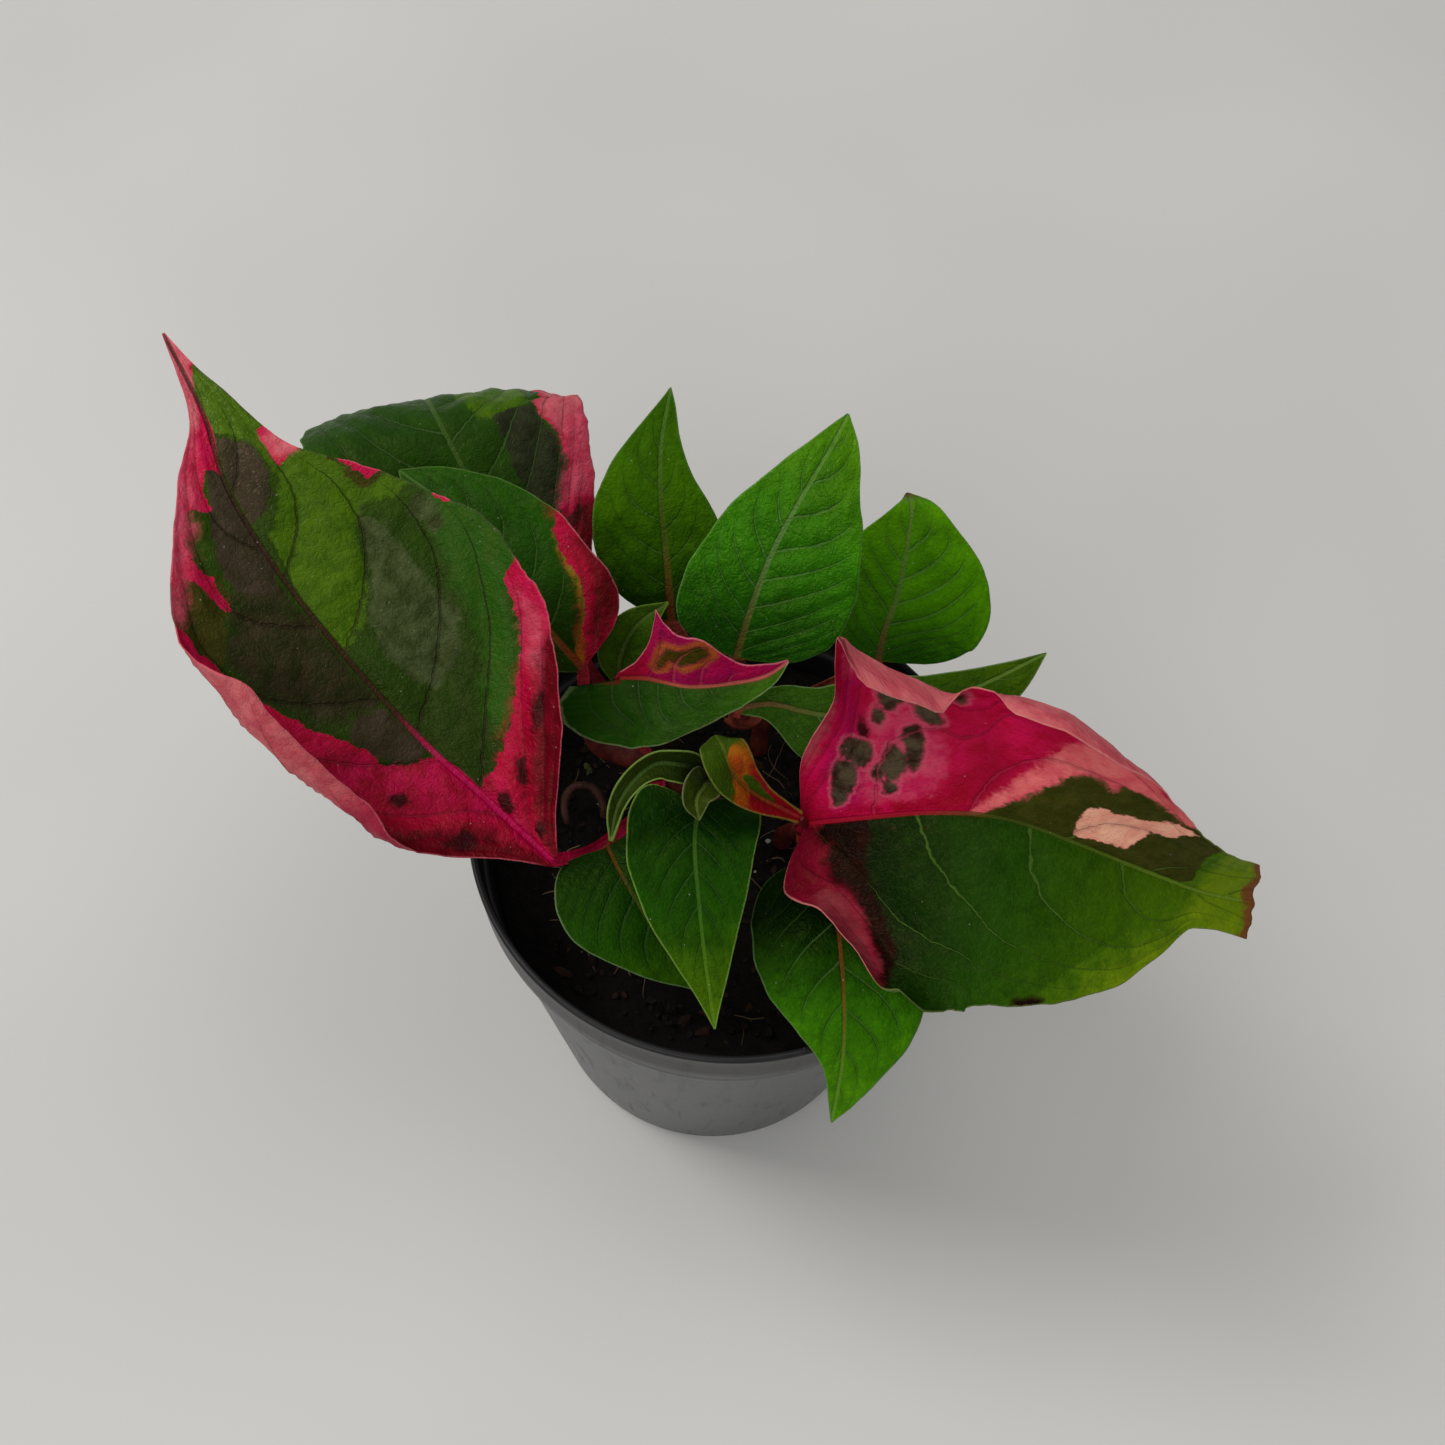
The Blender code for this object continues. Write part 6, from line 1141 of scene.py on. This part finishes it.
# the growing tip, which carries the youngest leaves
SHOOT = stem_material("shoot_skin", (0.020, 0.032, 0.005), (0.045, 0.050, 0.008), (0.075, 0.060, 0.020))
RED_STALK = stem_material("red_stalk_skin", (0.085, 0.002, 0.004), (0.15, 0.008, 0.008), (0.22, 0.040, 0.020))
fine_tube("shoot_tip", [(-3.55, -3.6, 70.3), (-3.5, -4.0, 72.8), (-2.9, -4.5, 75.2), (-2.3, -5.2, 76.9)], 0.72, [(0.0, 0.45, 1.2), (0.55, 0.25, 0.9)], 31.0, SHOOT)
fine_tube("shoot_left", [(-3.4, -4.1, 73.2), (-3.8, -4.3, 74.4), (-4.5, -4.5, 75.4)], 0.45, [(0.0, 0.3, 0.8)], 32.0, SHOOT)
fine_tube("shoot_right", [(-3.0, -4.4, 75.0), (-1.4, -4.5, 76.1), (0.3, -4.7, 77.0)], 0.38, [(0.0, 0.3, 0.8)], 33.0, SHOOT)
fine_tube("shoot_orange", [(9.15, -5.3, 66.0), (9.0, -7.0, 69.6), (8.2, -8.1, 72.8), (7.7, -8.5, 75.0)], 0.50, [(0.0, 0.3, 0.9)], 34.0, RED_STALK)

# ---------------------------------------------------------------- the pot
def lathe(name, profile, steps, material):
    """A profile (r, z) in millimetres, from the axis outward and back to it, turned about Z."""
    bm = bmesh.new()
    angles = np.arange(steps) * 2 * math.pi / steps
    rows = []
    for r, z in profile:
        if r < 1e-6:
            rows.append([bm.verts.new((0, 0, z * MM))])
        else:
            rows.append([bm.verts.new((r * MM * math.cos(a), r * MM * math.sin(a), z * MM)) for a in angles])
    for a, b in zip(rows, rows[1:]):
        for j in range(steps):
            k = (j + 1) % steps
            if len(a) == 1:
                bm.faces.new((a[0], b[j], b[k]))
            elif len(b) == 1:
                bm.faces.new((a[j], a[k], b[0]))
            else:
                bm.faces.new((a[j], b[j], b[k], a[k]))
    bmesh.ops.recalc_face_normals(bm, faces=bm.faces)
    mesh = bpy.data.meshes.new(name)
    bm.to_mesh(mesh)
    bm.free()
    mesh.shade_smooth()
    mesh.set_sharp_from_angle(angle=math.radians(38))
    obj = new_object(name, mesh)
    obj.data.materials.append(material)
    return obj


top = RIM_HEIGHT
wall_top = RIM_HEIGHT - BAND_HEIGHT
base_in = BASE_RADIUS - WALL


def pot_material():
    g = Graph("pot_plastic")
    p = object_space(g)
    x, y, z = g.split(p)
    soft = g.noise(p, 0.10, 3, 0.6)
    mould = g.noise(p, 1.1, 3, 0.6)
    grain = g.noise(p, 9.0, 2, 0.6)
    # water marks and dust run down the wall, thicker near the foot
    runs = g.noise(g.scale(p, (1, 1, 0.12)), 0.5, 4, 0.65, 0.6)
    film = g.times(g.step(runs, 0.50, 0.80), g.line(z, 60, 0, 0.35, 1.0))
    dust_spots = g.cells(p, 0.55, "F1", "Distance")
    lucky = g.split(g.cells(p, 0.55, "F1", "Color"))[0]
    crumbs = g.times(g.math("SUBTRACT", 1.0, g.step(dust_spots, 0.05, 0.12)), g.step(lucky, 0.86, 0.88))
    scratch = g.noise(g.scale(p, (0.35, 0.35, 6.0)), 0.9, 2, 0.5, 1.2)
    scuff = g.times(g.step(scratch, 0.66, 0.70), g.step(mould, 0.5, 0.7))
    colour = g.mix(g.step(soft, 0.35, 0.7), (0.0115, 0.0115, 0.0125), (0.0165, 0.0162, 0.0165))
    # the outer wall below its dark rim is painted grey, a painted reflection of the pale floor
    radius = g.math("SQRT", g.add(g.times(x, x), g.times(y, y)))
    slant = (RIM_RADIUS - 1.35 - BASE_RADIUS) / wall_top
    outside = g.times(g.step(g.add(radius, g.times(z, -slant)), BASE_RADIUS - 0.7, BASE_RADIUS - 0.3), g.step(z, wall_top + 2.2, wall_top - 1.5))
    # painted reflection: grey over the outer wall, standing in for the floor mirrored in the black plastic
    colour = g.mix(g.times(outside, g.line(soft, 0.3, 0.7, 0.85, 1.0)), colour, (0.088, 0.090, 0.092))
    colour = g.mix(g.times(film, 0.22), colour, (0.115, 0.110, 0.100))
    colour = g.mix(g.times(scuff, 0.35), colour, (0.06, 0.06, 0.06))
    colour = g.mix(g.times(crumbs, 0.8), colour, (0.075, 0.045, 0.025))
    rough = g.add(0.30, g.times(soft, 0.10), g.times(film, 0.25), g.times(g.add(grain, -0.5), 0.10), g.times(scuff, 0.2))
    height = g.add(g.times(mould, 0.55), g.times(grain, 0.22), g.times(crumbs, 1.2))
    normal = g.bump(height, 0.035)
    return g.finish(colour, rough, normal, Specular_IOR_Level=0.26, IOR=1.48)


def outer(z):
    return BASE_RADIUS + 0.1 + (RIM_RADIUS - 1.35 - BASE_RADIUS - 0.1) * (z - 0.6) / (wall_top - 0.75)


def inner_radius(z):
    slope = (RIM_RADIUS - 2.1 - (base_in + 0.1)) / (wall_top - 0.3 - FLOOR - 0.5)
    return base_in + 0.1 + slope * (z - FLOOR - 0.5)


profile = [(0, FLOOR), (6, FLOOR), (12, FLOOR), (base_in - 0.9, FLOOR), (base_in - 0.35, FLOOR + 0.12), (base_in + 0.02, FLOOR + 0.45)]
profile += [(inner_radius(z), z) for z in np.linspace(3, wall_top - 0.6, 12)]
profile += [(RIM_RADIUS - 2.05, wall_top - 0.25), (RIM_RADIUS - 1.85, wall_top + 0.05), (RIM_RADIUS - 1.55, wall_top + 0.35)]
profile += [(RIM_RADIUS - 1.52 + 0.5 * t, wall_top + 0.5 + (top - 0.9 - wall_top) * t) for t in (0.15, 0.4, 0.65, 0.9)]
# the lip: a rounded bead
profile += [(RIM_RADIUS - 0.50 + 0.46 * math.cos(a), top - 0.46 + 0.46 * math.sin(a)) for a in np.linspace(math.radians(168), math.radians(-8), 11)]
profile += [(RIM_RADIUS - 0.12, top - 0.95), (RIM_RADIUS - 0.22, top - 1.5)]
profile += [(RIM_RADIUS - 0.22 - 0.36 * t, top - 1.5 - (BAND_HEIGHT - 1.75) * t) for t in (0.25, 0.5, 0.75, 1.0)]
profile += [(RIM_RADIUS - 0.66, wall_top + 0.08), (RIM_RADIUS - 0.85, wall_top - 0.06), (RIM_RADIUS - 1.15, wall_top - 0.12), (RIM_RADIUS - 1.33, wall_top - 0.22)]
profile += [(outer(z), z) for z in np.linspace(wall_top - 1.0, wall_top - 4.6, 4)]
profile += [(outer(wall_top - 4.9) + 0.10, wall_top - 4.9), (outer(wall_top - 5.3) + 0.12, wall_top - 5.3), (outer(wall_top - 5.7), wall_top - 5.7)]
profile += [(outer(z), z) for z in np.linspace(wall_top - 7, 2.0, 10)]
profile += [(BASE_RADIUS + 0.08, 1.1), (BASE_RADIUS - 0.02, 0.55), (BASE_RADIUS - 0.22, 0.2), (BASE_RADIUS - 0.55, 0.03), (BASE_RADIUS - 0.9, 0.0),
            (BASE_RADIUS - 2.2, 0.0), (BASE_RADIUS - 2.5, 0.12), (BASE_RADIUS - 2.8, 0.35), (12, 0.35), (6, 0.35), (0, 0.35)]
pot = lathe("pot_shell", profile, 160, pot_material())
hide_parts("pot")
for i in range(DRAIN_HOLES):
    angle = (i + 0.5) * 2 * math.pi / DRAIN_HOLES
    bm = bmesh.new()
    bmesh.ops.create_cone(bm, cap_ends=True, segments=32, radius1=2.6 * MM, radius2=2.6 * MM, depth=6 * MM)
    cutter_mesh = bpy.data.meshes.new("drain_tool")
    bm.to_mesh(cutter_mesh)
    bm.free()
    cutter = bpy.data.objects.new("drain_tool", cutter_mesh)
    cutter.location = (16.5 * MM * math.cos(angle), 16.5 * MM * math.sin(angle), 0.6 * MM)
    scene.collection.objects.link(cutter)
    cut = pot.modifiers.new("drain", "BOOLEAN")
    cut.operation = "DIFFERENCE"
    cut.solver = "EXACT"
    cut.object = cutter
    bpy.context.view_layer.update()
    result = bpy.data.meshes.new_from_object(pot.evaluated_get(bpy.context.evaluated_depsgraph_get()))
    pot.modifiers.clear()
    pot.data = result
    bpy.data.objects.remove(cutter, do_unlink=True)
pot.data.name = "pot_shell"


# ---------------------------------------------------------------- the soil
def soil_material():
    g = Graph("potting_soil")
    p = object_space(g)
    clump = g.noise(p, 0.5, 5, 0.65)
    crumb = g.noise(p, 2.6, 4, 0.7)
    grain = g.noise(p, 9.0, 3, 0.7)
    colour = g.mix(g.step(clump, 0.36, 0.66), (0.0024, 0.0013, 0.0008), (0.0070, 0.0036, 0.0020))
    colour = g.mix(g.times(g.step(crumb, 0.58, 0.76), 0.5), colour, (0.024, 0.012, 0.006))
    colour = g.mix(g.times(g.step(grain, 0.68, 0.76), 0.45), colour, (0.14, 0.10, 0.065))
    rough = g.add(0.62, g.times(crumb, 0.35))
    height = g.add(g.times(clump, 1.2), g.times(crumb, 0.9), g.times(grain, 0.4))
    return g.finish(colour, rough, g.bump(height, 0.6), Specular_IOR_Level=0.3, IOR=1.45)


def chip_material(name, dark, light, spec=0.35, bump=0.25, rough_base=0.5):
    g = Graph(name)
    p = object_space(g)
    tint = g.attribute("tint")
    streak = g.noise(p, 2.2, 4, 0.7, 0.8)
    grain = g.noise(p, 8.0, 3, 0.7)
    colour = g.mix(g.math("MULTIPLY_ADD", streak, 0.7, g.times(g.add(tint, -0.25), 0.8), clamp=True), dark, light)
    colour = g.mix(g.times(g.step(grain, 0.58, 0.8), 0.3), colour, warm(light, 1.5))
    rough = g.add(rough_base, g.times(grain, 0.3))
    return g.finish(colour, rough, g.bump(g.add(streak, g.times(grain, 0.5)), bump), Specular_IOR_Level=spec, IOR=1.45)


def soil_height(x, y):
    """Soil surface above the pot's floor, in millimetres."""
    r = math.hypot(x, y)
    base = SOIL_TOP - 0.7 * (r / 27.0) ** 2
    p = Vector((x, y, 0))
    h = 0.75 * noise.fractal(p * 0.16 + Vector((3, 1, 0)), 1.0, 2.0, 3)
    h += 0.55 * noise.fractal(p * 0.55 + Vector((7, 4, 2)), 0.9, 2.1, 4)
    h += 0.30 * noise.turbulence(p * 1.3, 3, False)
    return base + h - 0.35


def build_soil():
    bm = bmesh.new()
    steps, rings = 200, 66
    edge = inner_radius(SOIL_TOP - 1.4) - 0.12
    rows = [[bm.verts.new((0, 0, soil_height(0, 0) * MM))]]
    for i in range(1, rings + 1):
        r = edge * i / rings
        row = []
        for j in range(steps):
            a = 2 * math.pi * j / steps
            x, y = r * math.cos(a), r * math.sin(a)
            drop = 0.7 * max(0.0, (r - edge + 1.6) / 1.6) ** 2
            row.append(bm.verts.new((x * MM, y * MM, (soil_height(x, y) - drop) * MM)))
        rows.append(row)
    low = FLOOR + 0.5
    for z in (SOIL_TOP - 5, low + 15, low):
        r = min(edge, inner_radius(z) - 0.15)
        rows.append([bm.verts.new((r * MM * math.cos(2 * math.pi * j / steps), r * MM * math.sin(2 * math.pi * j / steps), z * MM)) for j in range(steps)])
    rows.append([bm.verts.new((0, 0, low * MM))])
    for a, b in zip(rows, rows[1:]):
        for j in range(steps):
            k = (j + 1) % steps
            if len(a) == 1:
                bm.faces.new((a[0], b[j], b[k]))
            elif len(b) == 1:
                bm.faces.new((a[j], a[k], b[0]))
            else:
                bm.faces.new((a[j], b[j], b[k], a[k]))
    bmesh.ops.recalc_face_normals(bm, faces=bm.faces)
    mesh = bpy.data.meshes.new("soil_bed")
    bm.to_mesh(mesh)
    bm.free()
    mesh.shade_smooth()
    obj = new_object("soil_bed", mesh)
    obj.data.materials.append(soil_material())
    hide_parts("soil")
    return obj


def scatter(name, count, seed, sizes, flatness, stretch, material, lift, tints=(0, 1), angular=0.35, reach=26.6, level=2):
    """Loose bits lying on the soil: uneven convex lumps, each half sunk in it."""
    rng = np.random.default_rng(seed)
    bm = bmesh.new()
    tint_layer = bm.verts.layers.float.new("tint")
    for _ in range(count):
        r = reach * math.sqrt(rng.uniform(0, 1))
        a = rng.uniform(0, 2 * math.pi)
        x, y = r * math.cos(a), r * math.sin(a)
        size = sizes[0] + (sizes[1] - sizes[0]) * rng.uniform(0, 1) ** 2.2
        shape = Matrix.Diagonal((size * rng.uniform(1, stretch), size, size * rng.uniform(*flatness), 1.0))
        turn = Matrix.Rotation(rng.uniform(0, 2 * math.pi), 4, "Z") @ Matrix.Rotation(rng.normal(0, angular), 4, "X") @ Matrix.Rotation(rng.normal(0, angular), 4, "Y")
        made = bmesh.ops.create_icosphere(bm, subdivisions=level, radius=0.5)["verts"]
        key = Vector(rng.uniform(-50, 50, 3))
        z = soil_height(x, y) + lift * size
        tint = rng.uniform(*tints)
        for v in made:
            n = v.co.normalized()
            cut = Vector((round(n.x * 1.6) / 1.6, round(n.y * 1.6) / 1.6, round(n.z * 1.6) / 1.6))
            p = n.lerp(cut, 0.45) * 0.5 * (1 + 0.35 * noise.noise(n * 1.3 + key) + 0.18 * noise.noise(n * 3.1 + key))
            v.co = ((turn @ shape) @ p + Vector((x, y, z))) * MM
            v[tint_layer] = tint
    mesh = bpy.data.meshes.new(name)
    bm.to_mesh(mesh)
    bm.free()
    mesh.shade_smooth()
    mesh.set_sharp_from_angle(angle=math.radians(32))
    obj = new_object(name, mesh)
    obj.data.materials.append(material)
    return obj


def fibres(name, count, seed, lengths, radius, material, paths=()):
    """Thin roots and bark threads lying over the soil."""
    rng = np.random.default_rng(seed)
    bm = bmesh.new()
    tint_layer = bm.verts.layers.float.new("tint")
    strands = [(np.array(p, float), r) for p, r in paths]
    for _ in range(count):
        r = 25.5 * math.sqrt(rng.uniform(0, 1))
        a = rng.uniform(0, 2 * math.pi)
        x, y = r * math.cos(a), r * math.sin(a)
        heading = rng.uniform(0, 2 * math.pi)
        length = rng.uniform(*lengths)
        bend = rng.normal(0, 0.35)
        points = []
        for k in range(7):
            points.append((x, y, soil_height(x, y) + 0.12 + 0.35 * max(0, math.sin(k / 6 * math.pi)) * rng.uniform(0, 1)))
            x += math.cos(heading) * length / 6
            y += math.sin(heading) * length / 6
            heading += bend / 2 + rng.normal(0, 0.18)
            if math.hypot(x, y) > 26.8:
                break
        if len(points) > 3:
            strands.append((np.array(points), radius * rng.uniform(0.6, 1.4)))
    for points, thick in strands:
        path = spline(points, 12)
        length = np.linalg.norm(np.diff(path, axis=0), axis=1).sum()
        count_rings = max(6, int(length / 0.45))
        shares = np.linspace(0, 1, count_rings)
        P, T = along(path, shares)
        A = unit(np.cross(T, np.array([0.13, 0.21, 1.0])))
        B = np.cross(T, A)
        tint = rng.uniform(0, 1)
        rows = []
        for i in range(count_rings):
            rr = thick * (0.35 + 0.65 * math.sin(math.pi * min(1, 0.12 + 0.88 * shares[i])) ** 0.5)
            row = []
            for j in range(6):
                a = j * math.pi / 3
                v = bm.verts.new(Vector(P[i] + (A[i] * math.cos(a) + B[i] * math.sin(a)) * rr) * MM)
                v[tint_layer] = tint
                row.append(v)
            rows.append(row)
        for a, b in zip(rows, rows[1:]):
            for j in range(6):
                bm.faces.new((a[j], a[(j + 1) % 6], b[(j + 1) % 6], b[j]))
        bm.faces.new(rows[0])
        bm.faces.new(rows[-1])
    bmesh.ops.recalc_face_normals(bm, faces=bm.faces)
    mesh = bpy.data.meshes.new(name)
    bm.to_mesh(mesh)
    bm.free()
    mesh.shade_smooth()
    obj = new_object(name, mesh)
    obj.data.materials.append(material)
    return obj


build_soil()
BARK = chip_material("bark_chips", (0.0035, 0.0016, 0.0010), (0.055, 0.022, 0.010), spec=0.25)
PEAT = chip_material("peat_crumbs", (0.0020, 0.0012, 0.0008), (0.010, 0.0055, 0.0030), spec=0.3)
PERLITE = chip_material("perlite", (0.22, 0.19, 0.14), (0.50, 0.46, 0.39), spec=0.4, bump=0.2, rough_base=0.55)
THREAD = chip_material("threads", (0.060, 0.032, 0.016), (0.26, 0.16, 0.085), bump=0.05)
MOSS = chip_material("moss_bits", (0.030, 0.032, 0.006), (0.10, 0.10, 0.02), bump=0.2)
scatter("soil_crumbs", 620, 11, (0.5, 1.6), (0.5, 0.9), 1.6, PEAT, 0.12, level=1)
scatter("soil_bark", 170, 12, (0.35, 1.45), (0.2, 0.5), 2.2, BARK, 0.18)
scatter("soil_perlite", 42, 13, (0.18, 0.60), (0.7, 1.0), 1.3, PERLITE, 0.22)
scatter("soil_moss", 26, 15, (0.35, 0.9), (0.6, 0.9), 1.5, MOSS, 0.2)
fibres("soil_threads", 90, 14, (1.8, 7.0), 0.07, THREAD)

# ---------------------------------------------------------------- floor, light and camera
def floor_material():
    g = Graph("pale_floor")
    p = object_space(g)
    haze = g.noise(p, 0.006, 2, 0.6)
    grain = g.noise(p, 0.9, 1, 0.6)
    colour = g.mix(g.step(haze, 0.3, 0.7), (0.60, 0.595, 0.575), (0.66, 0.655, 0.635))
    rough = g.add(0.5, g.times(grain, 0.12))
    return g.finish(colour, rough, None, Specular_IOR_Level=0.25)


bpy.ops.mesh.primitive_grid_add(x_subdivisions=8, y_subdivisions=8, size=6.0, location=(0, 0, 0))
floor = bpy.context.active_object
floor.name = "floor"
floor.data.materials.append(floor_material())

world = bpy.data.worlds.new("studio")
scene.world = world
world.use_nodes = True
background = world.node_tree.nodes["Background"]
background.inputs["Color"].default_value = (1.0, 0.99, 0.975, 1.0)
background.inputs["Strength"].default_value = 0.34


def area_light(name, location, aim, size, power, colour=(1, 1, 1)):
    data = bpy.data.lights.new(name, "AREA")
    data.shape = "SQUARE"
    data.size = size
    data.energy = power
    data.color = colour
    obj = bpy.data.objects.new(name, data)
    obj.location = location
    obj.rotation_euler = (Vector(aim) - Vector(location)).to_track_quat("-Z", "Y").to_euler()
    scene.collection.objects.link(obj)
    return obj


area_light("key", (-0.90, 0.22, 1.15), (0, 0, 0.05), 0.60, 9.0, (1.0, 0.985, 0.96))
area_light("front", (-0.30, -0.80, 0.75), (0, 0, 0.05), 0.70, 3.0, (0.98, 0.99, 1.0))
area_light("top", (0.15, 0.25, 1.10), (0, 0, 0.05), 0.60, 1.5)

# the photograph's view: 60 degrees down, rolled 5.3 degrees
pitch, roll = math.radians(60), math.radians(5.3)
forward = Vector((0, math.cos(pitch), -math.sin(pitch)))
right0 = Vector((1, 0, 0))
up0 = Vector((0, math.sin(pitch), math.cos(pitch)))
right = right0 * math.cos(roll) + up0 * math.sin(roll)
up = up0 * math.cos(roll) - right0 * math.sin(roll)
camera_data = bpy.data.cameras.new("camera")
camera_data.sensor_width = 36.0
camera_data.lens = 1900.0 * 36.0 / 1445.0
camera_data.clip_start, camera_data.clip_end = 0.01, 20.0
camera = bpy.data.objects.new("camera", camera_data)
camera.matrix_world = Matrix(((right.x, up.x, -forward.x, -0.00192), (right.y, up.y, -forward.y, -0.10688), (right.z, up.z, -forward.z, 0.26494), (0, 0, 0, 1)))
scene.collection.objects.link(camera)
scene.camera = camera
scene.view_settings.view_transform = "Standard"
scene.view_settings.look = "None"
